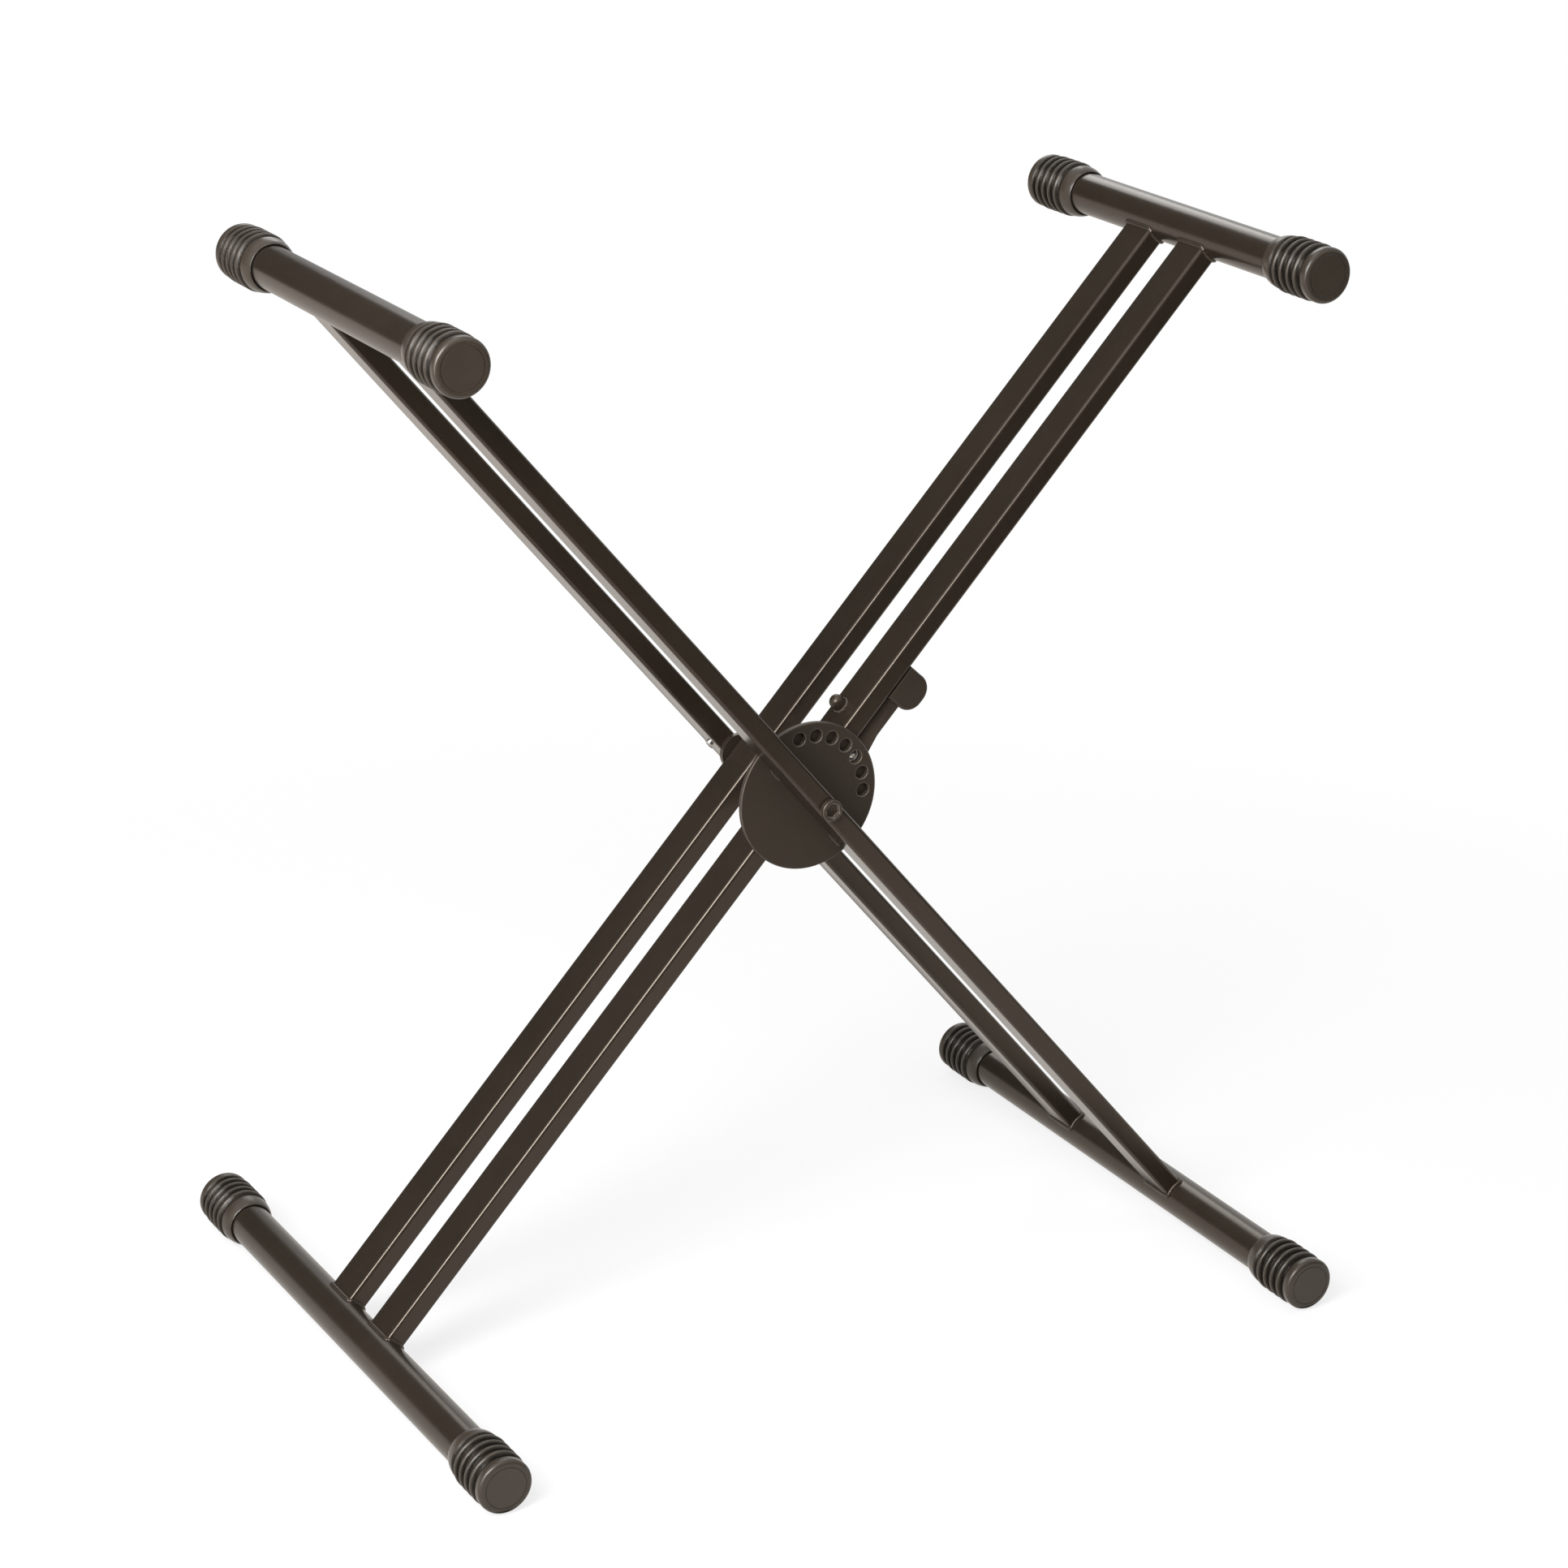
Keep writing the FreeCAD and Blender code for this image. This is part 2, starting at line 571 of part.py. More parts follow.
def lever_channel():
    """Bent sheet lever; local origin on the lever's axis at the leg's middle."""
    body = new_body("lever_channel", lever_frame)
    head = "(grip_low + grip_long - grip_top)"
    tail = "(lever_arm + tail_past)"
    web = "(lever_arm - web_back)"
    face = "-" + lever_front
    nose = face + " + tail_set"
    slim = face + " + lever_slim"
    side = new_sketch(body, "side", "XY_Plane", "-" + lever_near)
    outline(side, [("-" + tail, nose), ("-%s - lever_wall" % web, nose), ("-" + web, face),
                   (head, face), (head, slim), ("grip_low - slope_end", slim),
                   ("lever_slope", "lever_flange"), ("-" + tail, "lever_flange")])
    pad(body, side, "lever_width + lever_splay", reverse=True)
    above = head + " + 1"
    past = "-%s - 1" % tail
    outside = "-" + lever_far
    trim = new_sketch(body, "trim", "XZ_Plane")
    outline(trim, [(above, outside), ("-lever_bend", outside), ("-" + tail, outside + " - lever_splay"),
                   (past, outside + " - lever_splay"), (past, outside + " - 2 * lever_splay"),
                   (above, outside + " - 2 * lever_splay")])
    pocket(body, trim)
    inside = outside + " + lever_wall"
    hollow = new_sketch(body, "hollow", "XZ_Plane", lever_front + " - lever_wall")
    near_leg = "-%s - lever_wall" % lever_near
    outline(hollow, [(above, near_leg), (above, inside), ("-lever_bend", inside),
                     ("-" + tail, inside + " - lever_splay"), (past, inside + " - lever_splay"),
                     (past, near_leg)])
    pocket(body, hollow, "%s + 2 * lever_flange" % lever_front)
    cut = new_sketch(body, "tail", "XZ_Plane")
    splay_at_web = "lever_splay * (%s - lever_bend) / (%s - lever_bend)" % (web, tail)
    outline(cut, [("-" + web, "0"), ("-" + web, "%s - %s" % (inside, splay_at_web)),
                  ("-" + tail, inside + " - lever_splay"), (past, inside + " - lever_splay"),
                  (past, "0")])
    pocket(body, cut)
    holes = new_sketch(body, "holes", "XY_Plane")
    ring(holes, "0", "0", "lever_bolt_dia + 2 * lever_bolt_run")
    ring(holes, "-lever_arm", "link_lead", "link_dia + 2 * link_run")
    pocket(body, holes)
    bend = -value(lever_front)
    soften(body, lambda e: along(e, X_AXIS) and near(e.CenterOfMass.y, bend), "lever_fold")


def lever_grip():
    """Plastic grip pushed over the channel's upper end: a flat top and a round outer side."""
    body = new_body("lever_grip", lever_frame)
    grip_high = "grip_low + grip_long"
    face = new_sketch(body, "face", "XZ_Plane", lever_front + " + grip_lid")
    box_outline(face, "grip_low", grip_high, "-%s - grip_side" % lever_far, "-" + lever_near)
    pad(body, face, "grip_thick", reverse=True)
    outside = -value(lever_far + " + grip_side")
    soften(body, lambda e: along(e, Y_AXIS) and near(e.CenterOfMass.z, outside),
           "min(grip_curve; grip_long * 0.45)")
    front = -value(lever_front + " + grip_lid")
    leg_side = -value(lever_near)
    soften(body, lambda e: near(e.BoundBox.YMin, front) and near(e.BoundBox.YMax, front)
           and not near(e.BoundBox.ZMin, leg_side), "grip_soft")
    seat = new_sketch(body, "seat", "XZ_Plane", lever_front)
    box_outline(seat, "grip_low - 1", grip_high + " - grip_top", "-" + lever_far, "0")
    pocket(body, seat, "grip_thick")


def lever_bolt():
    """Domed bolt through the inner leg; local +Y runs from the head to the nut."""
    place = lever_frame * Placement(Vector(0, 0, size["leg_wide"] / 2), Rotation(X_AXIS, -90))
    body = new_body("lever_bolt", place)
    shape = new_sketch(body, "shape", "XY_Plane")
    top = "-(lever_washer_thick + lever_bolt_high)"
    seat = "-lever_washer_thick"
    tail = "leg_wide / 2 + %s + lever_nut_high + lever_collar + thread_tail / 2" % lever_far
    outline(shape, [("0", top), ("lever_bolt_head / 2", top), ("lever_bolt_head / 2", seat),
                    ("lever_bolt_dia / 2", seat), ("lever_bolt_dia / 2", tail), ("0", tail)])
    spin(body, shape)
    rim = size["lever_bolt_head"] / 2
    crown = value(top)
    soften(body, lambda e: circle_of(e, rim) and near(e.CenterOfMass.y, crown), "lever_dome")
    snug = "lever_bolt_dia + 2 * weld_gap"
    rings = (("lever_head_washer", -size["lever_washer_thick"], "lever_washer_thick"),
             ("lever_gap_washer", size["leg_wide"], "lever_gap"))
    for name, seat_at, thick in rings:
        washer(name, place * Placement(Vector(0, seat_at, 0), Rotation()), "lever_washer_dia", snug,
               thick)
    under = value("leg_wide / 2 + " + lever_far)
    nut("lever_nut", place * Placement(Vector(0, under, 0), Rotation()), "lever", snug)
    hole = new_sketch(legs["inner_front_leg"], "lever_hole", "XY_Plane")
    ring(hole, pin_up + " + lever_arm", lever_deep + " - leg_deep / 2", snug)
    pocket(legs["inner_front_leg"], hole)


lever_channel()
lever_grip()
lever_bolt()


# ---------------------------------------------------------------- lock pin and its guide

def pin_lug(name, back):
    """Plate on the leg's lower right face that guides the lock pin."""
    body = new_body(name, turned(inner_frame, 0, value(back) - inner_front, 0))
    plate = new_sketch(body, "plate", "XZ_Plane")
    edge = "(pin_dia / 2 + pin_run + lug_edge)"
    foot = "-%s - %s" % (pin_down, edge)
    box_outline(plate, "%s - %s" % (pin_up, edge), "%s + %s" % (pin_up, edge), foot, "-leg_wide / 2")
    pad(body, plate, "lug_thick", reverse=True)
    foot_at = value(foot)
    soften(body, lambda e: along(e, Y_AXIS) and near(e.CenterOfMass.z, foot_at), "lug_round")
    hole = new_sketch(body, "hole", "XZ_Plane")
    ring(hole, pin_up, "-" + pin_down, "pin_dia + 2 * pin_run")
    pocket(body, hole)


def lock_pin():
    """Lock pin along Y; its tip is at local y = 0, just behind the lock disc."""
    tip = size["pin_back"] - disc_back
    body = new_body("lock_pin", turned(inner_frame, value(pin_up), tip, -value(pin_down)))
    shape = new_sketch(body, "shape", "XY_Plane")
    outline(shape, [("0", "pin_dimple / 2"), ("pin_dimple / 2", "0"), ("pin_dia / 2 - pin_point", "0"),
                    ("pin_dia / 2", "pin_point"), ("pin_dia / 2", "pin_long - pin_point / 2"),
                    ("pin_dia / 2 - pin_point / 2", "pin_long"), ("0", "pin_long")])
    spin(body, shape)
    across = new_sketch(body, "across", "XY_Plane")
    ring(across, "0", "glide_thick - pin_back + %s + link_lead" % lever_deep, "link_dia")
    pocket(body, across)


def link_pin():
    """Cross pin from the lock pin out through the lever's outer flange."""
    link_y = value(lever_deep + " + link_lead") - inner_front
    start = size["pin_dia"] / 2 - value(pin_down)
    body = new_body("link_pin", inner_frame * Placement(
        Vector(value(pin_up), link_y, start), Rotation(X_AXIS, -90)))
    face = new_sketch(body, "face", "XZ_Plane")
    ring(face, "0", "0", "link_dia")
    pad(body, face, "%s + lever_splay + link_proud + pin_dia / 2 - %s" % (lever_far, pin_down),
        reverse=True)


pin_lug("pin_lug_front", "lug_front")
pin_lug("pin_lug_rear", lug_front_back)
lock_pin()
link_pin()


# ---------------------------------------------------------------- check and write

doc.recompute()
faults = [thing.Name for thing in doc.Objects if {"Invalid", "Error"} & set(thing.State)]
for piece in made:
    if piece.Shape.isNull() or not piece.Shape.isValid() or not piece.Shape.Solids:
        faults.append(piece.Label)
if faults:
    raise RuntimeError("faulty: " + ", ".join(faults))
if len({piece.Label for piece in made}) != len(made):
    raise RuntimeError("two pieces share a name")

os.makedirs("parts", exist_ok=True)
for piece in made:
    piece.Shape.exportStep("parts/%s.step" % piece.Label)
    print("%-24s %9.1f mm3" % (piece.Label, piece.Shape.Volume))
print("hub axis %.2f mm above the floor, %d pieces" % (hub_high, len(made)))
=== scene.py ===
import math
import bmesh
import bpy
from mathutils import Matrix, Quaternion, Vector


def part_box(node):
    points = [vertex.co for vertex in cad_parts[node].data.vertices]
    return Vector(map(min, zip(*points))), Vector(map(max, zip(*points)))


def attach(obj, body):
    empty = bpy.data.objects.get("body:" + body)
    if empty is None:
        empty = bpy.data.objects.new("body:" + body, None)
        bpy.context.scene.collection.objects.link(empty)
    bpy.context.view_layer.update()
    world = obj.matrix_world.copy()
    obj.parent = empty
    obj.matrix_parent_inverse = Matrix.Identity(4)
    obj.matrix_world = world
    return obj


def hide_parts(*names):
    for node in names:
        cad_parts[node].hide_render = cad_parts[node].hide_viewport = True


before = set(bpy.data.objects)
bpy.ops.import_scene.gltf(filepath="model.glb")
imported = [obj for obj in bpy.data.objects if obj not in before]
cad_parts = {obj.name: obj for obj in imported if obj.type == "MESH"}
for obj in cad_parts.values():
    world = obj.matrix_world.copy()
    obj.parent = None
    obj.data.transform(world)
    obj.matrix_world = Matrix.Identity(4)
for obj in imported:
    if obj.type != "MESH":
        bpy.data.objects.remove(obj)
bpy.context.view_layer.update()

mm = 0.001

# where the two crossed frames lie: local X runs along a frame's legs, Y through the hub, Z across the legs
stand = {"lean": 48.5, "reach": 485 * mm, "legDeep": 30 * mm, "legWide": 15 * mm, "legCorner": 2.5 * mm}


def middle(node):
    low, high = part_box(node)
    return (low + high) / 2


hub = Vector((0, 0, middle("hub_bolt").z))
outerFrame = Matrix.Translation(hub) @ Matrix.Rotation(math.radians(stand["lean"]), 4, "Y")
innerFrame = Matrix.Translation(hub) @ Matrix.Rotation(math.radians(-stand["lean"]), 4, "Y")
facingRear = Matrix.Rotation(math.radians(-90), 4, "X")  # turns a piece's own Z towards +Y
facingFront = Matrix.Rotation(math.radians(90), 4, "X")
print("frame loaded, hub at %.1f mm" % (hub.z / mm))


# ---- shared effects, as shader node groups

# sizes in metres
effects = {"edgeContrast": 6.0, "edgePatch": 0.004, "dustPatch": 0.011}

def newGroup(name, numbers, results):
    group = bpy.data.node_groups.new(name, "ShaderNodeTree")
    for label, value in numbers.items():
        socket = group.interface.new_socket(name=label, in_out="INPUT", socket_type="NodeSocketFloat")
        socket.default_value = value
    for label in results:
        group.interface.new_socket(name=label, in_out="OUTPUT", socket_type="NodeSocketFloat")
    return group, group.nodes.new("NodeGroupInput"), group.nodes.new("NodeGroupOutput")


def addNode(tree, kind, **settings):
    node = tree.nodes.new(kind)
    for key, value in settings.items():
        setattr(node, key, value)
    return node


def mathNode(tree, operation, first, second, third=None):
    node = addNode(tree, "ShaderNodeMath", operation=operation)
    for i, value in enumerate((first, second, third)):
        if isinstance(value, bpy.types.NodeSocket):
            tree.links.new(value, node.inputs[i])
        elif value is not None:
            node.inputs[i].default_value = value
    return node.outputs[0]


def noiseNode(tree, size, detail=2.0, rough=0.5, stretch=None):
    # size in metres for one blotch, over the part's own coordinates
    place = addNode(tree, "ShaderNodeTexCoord").outputs["Object"]
    if stretch:
        mapping = addNode(tree, "ShaderNodeMapping")
        mapping.inputs["Scale"].default_value = stretch
        tree.links.new(place, mapping.inputs["Vector"])
        place = mapping.outputs["Vector"]
    texture = addNode(tree, "ShaderNodeTexNoise")
    tree.links.new(place, texture.inputs["Vector"])
    texture.inputs["Detail"].default_value = detail
    texture.inputs["Roughness"].default_value = rough
    if isinstance(size, bpy.types.NodeSocket):
        tree.links.new(mathNode(tree, "DIVIDE", 1.0, size), texture.inputs["Scale"])
    else:
        texture.inputs["Scale"].default_value = 1.0 / size
    return texture.outputs["Fac"]


def makeCoatGrain():
    # the peel of a sprayed or moulded skin: a fine height, and a slow drift of tone
    group, given, result = newGroup("coatGrain", {"Grain Size": 0.0008, "Blotch Size": 0.06},
                                    ["Height", "Tone"])
    fine = noiseNode(group, given.outputs["Grain Size"], detail=3.0, rough=0.6)
    slow = noiseNode(group, given.outputs["Blotch Size"], detail=4.0, rough=0.55)
    group.links.new(fine, result.inputs["Height"])
    group.links.new(slow, result.inputs["Tone"])
    return group


def makeEdgeWearAndHighlight():
    # mask of the edges where the rounded normal leaves the true one, broken up by noise; it lightens them
    # as real rubbed wear on some finishes and as a painted highlight on others
    group, given, result = newGroup("edgeWearAndHighlight", {"Edge Size": 0.0008, "Patchiness": 0.5}, ["Mask"])
    bevel = addNode(group, "ShaderNodeBevel", samples=4)
    group.links.new(given.outputs["Edge Size"], bevel.inputs["Radius"])
    geometry = addNode(group, "ShaderNodeNewGeometry")
    dot = addNode(group, "ShaderNodeVectorMath", operation="DOT_PRODUCT")
    group.links.new(bevel.outputs["Normal"], dot.inputs[0])
    group.links.new(geometry.outputs["Normal"], dot.inputs[1])
    bend = mathNode(group, "SUBTRACT", 1.0, dot.outputs["Value"])
    sharp = mathNode(group, "MULTIPLY", bend, effects["edgeContrast"])
    patches = noiseNode(group, effects["edgePatch"], detail=4.0, rough=0.65)
    broken = mathNode(group, "MULTIPLY_ADD", mathNode(group, "SUBTRACT", patches, 0.5),
                      mathNode(group, "MULTIPLY", given.outputs["Patchiness"], 2.0), 1.0)
    mask = addNode(group, "ShaderNodeClamp")
    group.links.new(mathNode(group, "MULTIPLY", sharp, broken), mask.inputs["Value"])
    group.links.new(mask.outputs["Result"], result.inputs["Mask"])
    return group


def makeSettledDust():
    # a thin film on what faces up
    group, given, result = newGroup("settledDust", {"Amount": 0.3}, ["Mask"])
    geometry = addNode(group, "ShaderNodeNewGeometry")
    split = addNode(group, "ShaderNodeSeparateXYZ")
    group.links.new(geometry.outputs["Normal"], split.inputs["Vector"])
    up = mathNode(group, "MAXIMUM", split.outputs["Z"], 0.0)
    patches = noiseNode(group, effects["dustPatch"], detail=5.0, rough=0.6)
    film = mathNode(group, "MULTIPLY", mathNode(group, "MULTIPLY", up, patches), given.outputs["Amount"])
    group.links.new(film, result.inputs["Mask"])
    return group


def makePaintedGrooveShade():
    # painted shade at the bottom of grooves and in tight corners, where ambient occlusion finds them closed
    # in
    group, given, result = newGroup("paintedGrooveShade", {"Reach": 0.005, "Amount": 5.0}, ["Mask"])
    shade = addNode(group, "ShaderNodeAmbientOcclusion", samples=6)
    group.links.new(given.outputs["Reach"], shade.inputs["Distance"])
    closed = mathNode(group, "SUBTRACT", 1.0, shade.outputs["AO"])
    paintedShade = addNode(group, "ShaderNodeClamp")
    group.links.new(mathNode(group, "MULTIPLY", closed, given.outputs["Amount"]), paintedShade.inputs["Value"])
    group.links.new(paintedShade.outputs["Result"], result.inputs["Mask"])
    return group


coatGrain = makeCoatGrain()
edgeWearAndHighlight = makeEdgeWearAndHighlight()
settledDust = makeSettledDust()
paintedGrooveShade = makePaintedGrooveShade()


# ---- materials

def useGroup(tree, group, **numbers):
    node = addNode(tree, "ShaderNodeGroup", node_tree=group)
    for label, value in numbers.items():
        node.inputs[label.replace("_", " ")].default_value = value
    return node


def mixColor(tree, mask, first, second):
    node = addNode(tree, "ShaderNodeMix", data_type="RGBA")
    tree.links.new(mask, node.inputs[0])
    for socket, color in ((node.inputs[6], first), (node.inputs[7], second)):
        if isinstance(color, bpy.types.NodeSocket):
            tree.links.new(color, socket)
        else:
            socket.default_value = (*color, 1.0)
    return node.outputs[2]


def spreadAround(tree, mask, centre, spread):
    return mathNode(tree, "MULTIPLY_ADD", mask, spread, centre - spread / 2)


def addBump(tree, shader, height, strength, distance):
    bump = addNode(tree, "ShaderNodeBump")
    bump.inputs["Strength"].default_value = strength
    bump.inputs["Distance"].default_value = distance
    tree.links.new(height, bump.inputs["Height"])
    tree.links.new(bump.outputs["Normal"], shader.inputs["Normal"])


def coatedMaterial(name, look):
    # paint, moulded plastic or rubber: grain, drifting tone, lighter edges (rubbed wear on some finishes, a
    # painted highlight on others), a little dust, and on the rubber painted shade in the grooves
    material = bpy.data.materials.new(name)
    material.use_nodes = True
    tree = material.node_tree
    shader = tree.nodes["Principled BSDF"]
    grain = useGroup(tree, coatGrain, Grain_Size=look["grain"], Blotch_Size=look["blotch"])
    wearAndHighlight = useGroup(tree, edgeWearAndHighlight, Edge_Size=look["edge"], Patchiness=look["patchy"])
    dust = useGroup(tree, settledDust, Amount=look["dust"])
    drift = mixColor(tree, grain.outputs["Tone"], look["dark"], look["light"])
    # lighter edges: rubbed wear on some finishes, a painted highlight on others
    wearAndHighlightMask = mathNode(tree, "MULTIPLY", wearAndHighlight.outputs["Mask"], look["wearAndHighlightShare"])
    withWearAndHighlight = mixColor(tree, wearAndHighlightMask, drift, look["wearAndHighlightColor"])
    skin = mixColor(tree, dust.outputs["Mask"], withWearAndHighlight, look["dustColor"])
    if look["paintedShade"]:
        # painted shade darkens the grooves, and the same mask keeps the coat's gloss to the ribs
        paintedShade = useGroup(tree, paintedGrooveShade, Amount=look["paintedShade"])
        skin = mixColor(tree, paintedShade.outputs["Mask"], skin, look["paintedShadeColor"])
        polish = mathNode(tree, "MULTIPLY_ADD", paintedShade.outputs["Mask"], -look["polish"], look["polish"])
        tree.links.new(polish, shader.inputs["Coat Weight"])
        shader.inputs["Coat Roughness"].default_value = look["rough"]
    tree.links.new(skin, shader.inputs["Base Color"])
    rough = spreadAround(tree, grain.outputs["Tone"], look["rough"], look["roughSpread"])
    dulled = mathNode(tree, "MULTIPLY_ADD", dust.outputs["Mask"], look["dustDulls"], rough)
    tree.links.new(dulled, shader.inputs["Roughness"])
    shader.inputs["Specular IOR Level"].default_value = look["gloss"]
    shader.inputs["Specular Tint"].default_value = (*look["tint"], 1.0)
    addBump(tree, shader, grain.outputs["Height"], look["bump"], look["bumpDepth"])
    return material


def platedMaterial(name, look):
    # plated or oiled steel: turning marks along one axis, faint stains and brighter edges, which on the
    # black oxide are a painted highlight
    material = bpy.data.materials.new(name)
    material.use_nodes = True
    tree = material.node_tree
    shader = tree.nodes["Principled BSDF"]
    marks = noiseNode(tree, look["mark"], detail=3.0, rough=0.7, stretch=look["stretch"])
    stain = useGroup(tree, coatGrain, Grain_Size=0.0006, Blotch_Size=look["blotch"])
    wearAndHighlight = useGroup(tree, edgeWearAndHighlight, Edge_Size=look["edge"], Patchiness=0.3)
    tone = mixColor(tree, stain.outputs["Tone"], look["dark"], look["light"])
    # brighter edges: a painted highlight on the black oxide bolts
    tree.links.new(mixColor(tree, wearAndHighlight.outputs["Mask"], tone, look["wearAndHighlightColor"]), shader.inputs["Base Color"])
    shader.inputs["Metallic"].default_value = look["metal"]
    shader.inputs["Specular Tint"].default_value = (*look["tint"], 1.0)
    rough = spreadAround(tree, marks, look["rough"], look["roughSpread"])
    tree.links.new(rough, shader.inputs["Roughness"])
    addBump(tree, shader, marks, look["bump"], 0.00003)
    return material


# colours are linear; grain, blotch, edge and bumpDepth are lengths in metres
blackCoat = {"dark": (0.0145, 0.0106, 0.0074), "light": (0.0220, 0.0165, 0.0116),
             "wearAndHighlightColor": (0.055, 0.045, 0.035), "dustColor": (0.22, 0.20, 0.18), "tint": (1.0, 0.85, 0.72),
             "grain": 0.0009, "blotch": 0.07, "edge": 0.0007, "patchy": 0.6, "wearAndHighlightShare": 0.55, "dust": 0.03,
             "dustDulls": 0.3, "rough": 0.22, "roughSpread": 0.05, "gloss": 0.45, "bump": 0.14,
             "bumpDepth": 0.00010, "paintedShade": 0.0}
paints = {
    "legPaint": blackCoat,
    "barPaint": {**blackCoat, "rough": 0.25, "bump": 0.13},
    # the weld beads' light edges are a painted glint
    "weldPaint": {**blackCoat, "wearAndHighlightColor": (0.13, 0.11, 0.09), "rough": 0.24, "grain": 0.0006, "bump": 0.5,
                  "edge": 0.0004},
    # the disc's light rim and hole edges are a painted highlight
    "discPaint": {**blackCoat, "wearAndHighlightColor": (0.20, 0.175, 0.15), "wearAndHighlightShare": 0.8, "edge": 0.0011, "patchy": 0.35,
                  "rough": 0.48, "grain": 0.00045, "bump": 0.8, "bumpDepth": 0.00016},
    # the rubber's grooves are darkened with painted shade from ambient occlusion
    "capRubber": {**blackCoat, "dark": (0.027, 0.021, 0.015), "light": (0.040, 0.031, 0.023), "rough": 0.30,
                  "roughSpread": 0.06, "grain": 0.0008, "blotch": 0.02, "gloss": 0.05, "bump": 0.08,
                  "dust": 0.04, "edge": 0.0009, "paintedShade": 6.0, "paintedShadeColor": (0.003, 0.0025, 0.002),
                  "polish": 0.6},
    "gripPlastic": {**blackCoat, "rough": 0.42, "grain": 0.0004, "blotch": 0.015, "bump": 0.6},
    "wearPlastic": {**blackCoat, "rough": 0.45, "grain": 0.0004, "blotch": 0.01, "bump": 0.2},
    "nylon": {**blackCoat, "dark": (0.52, 0.51, 0.47), "light": (0.66, 0.65, 0.60),
              "wearAndHighlightColor": (0.75, 0.74, 0.70), "rough": 0.45, "tint": (1, 1, 1), "blotch": 0.01},
}
zinc = {"dark": (0.62, 0.61, 0.57), "light": (0.76, 0.75, 0.72), "wearAndHighlightColor": (0.90, 0.89, 0.86),
        "blotch": 0.006, "edge": 0.0003, "metal": 1.0, "tint": (1, 1, 1), "rough": 0.30,
        "roughSpread": 0.16, "mark": 0.002, "stretch": (1.0, 12.0, 1.0), "bump": 0.5}
platings = {
    "brightZinc": {**zinc, "rough": 0.24},
    "dullZinc": {**zinc, "dark": (0.40, 0.395, 0.37), "light": (0.55, 0.54, 0.51), "rough": 0.38},
    # the black bolts' light rims are a painted highlight
    "blackOxide": {**zinc, "dark": (0.016, 0.012, 0.008), "light": (0.028, 0.021, 0.015),
                   "wearAndHighlightColor": (0.30, 0.27, 0.23), "metal": 0.1, "rough": 0.34, "edge": 0.0008,
                   "tint": blackCoat["tint"]},
}
materials = {name: coatedMaterial(name, look) for name, look in paints.items()}
materials.update({name: platedMaterial(name, look) for name, look in platings.items()})
print("materials made")


# ---- mesh helpers

def addPiece(name, mesh, material, body, replaced=()):
    piece = bpy.data.objects.new(name, mesh)
    bpy.context.scene.collection.objects.link(piece)
    mesh.materials.clear()
    mesh.materials.append(materials[material])
    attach(piece, body)
    if replaced:
        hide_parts(*replaced)
    return piece


def smoothMesh(mesh, degrees=35):
    mesh.shade_smooth()
    mesh.set_sharp_from_angle(angle=math.radians(degrees))


def meshFrom(name, corners, faces, place, sharpAt=35):
    mesh = bpy.data.meshes.new(name)
    mesh.from_pydata([place @ Vector(corner) for corner in corners], [], faces)
    work = bmesh.new()
    work.from_mesh(mesh)
    bmesh.ops.recalc_face_normals(work, faces=work.faces)
    work.to_mesh(mesh)
    work.free()
    smoothMesh(mesh, sharpAt)
    return mesh


def turnedMesh(name, profile, place, segments=96, sharpAt=35):
    # profile: (radius, height) from one end to the other
    # a radius may be a function of the angle, and 0 closes the end
    corners, rings, faces = [], [], []
    for radius, height in profile:
        if not callable(radius) and radius <= 0:
            rings.append([len(corners)])
            corners.append((0, 0, height))
            continue
        ring = []
        for i in range(segments):
            angle = 2 * math.pi * i / segments
            r = radius(angle) if callable(radius) else radius
            ring.append(len(corners))
            corners.append((r * math.cos(angle), r * math.sin(angle), height))
        rings.append(ring)
    pairs = list(zip(rings, rings[1:]))
    if len(rings[0]) > 1:
        pairs.append((rings[-1], rings[0]))  # a ring-shaped piece closes on itself
    for low, high in pairs:
        for i in range(segments):
            j = (i + 1) % segments
            if len(low) == 1:
                faces.append((low[0], high[i], high[j]))
            elif len(high) == 1:
                faces.append((low[i], high[0], low[j]))
            else:
                faces.append((low[i], high[i], high[j], low[j]))
    return meshFrom(name, corners, faces, place, sharpAt)


def quarterRound(radius, height, size, towards, steps=6):
    # points of a quarter circle from (radius - size, height) out to (radius, height + size * towards)
    turns = [math.pi / 2 * i / steps for i in range(steps + 1)]
    return [(radius - size + size * math.sin(turn), height + towards * size * (1 - math.cos(turn)))
            for turn in turns]


def hexagon(flats, chamfer=None):
    # radius of a hexagon at an angle, cut back to a circle where a chamfer says so
    def radius(angle):
        side = flats / 2 / math.cos((angle % (math.pi / 3)) - math.pi / 6)
        return min(side, chamfer) if chamfer else side
    return radius


def threadTurns(core, depth, pitch, start, length, steps=8):
    rings = []
    for i in range(int(length / pitch * steps) + 1):
        height = start + i * pitch / steps

        def radius(angle, height=height):
            turn = (height / pitch - angle / (2 * math.pi)) % 1.0
            return core + depth * (1 - abs(2 * turn - 1))
        rings.append((radius, height))
    return rings


# ---- rubber caps

capShape = {"rim": 3.2 * mm, "bandDrop": 0.6 * mm, "firstGroove": 10.1 * mm, "grooves": 5,
            "pitch": 7.75 * mm, "groove": 2.6 * mm, "narrow": 1.1, "flare": 11.1 * mm, "step": 1.3 * mm,
            "slope": 2.2 * mm, "lip": 1.5 * mm, "lipEdge": 0.6 * mm, "bore": 15.05 * mm, "wall": 6 * mm,
            "faceRing": 14.6 * mm, "ringDepth": 0.25 * mm}


def easeBetween(value, start, end):
    share = min(1.0, max(0.0, (value - start) / (end - start)))
    return share * share * (3 - 2 * share)


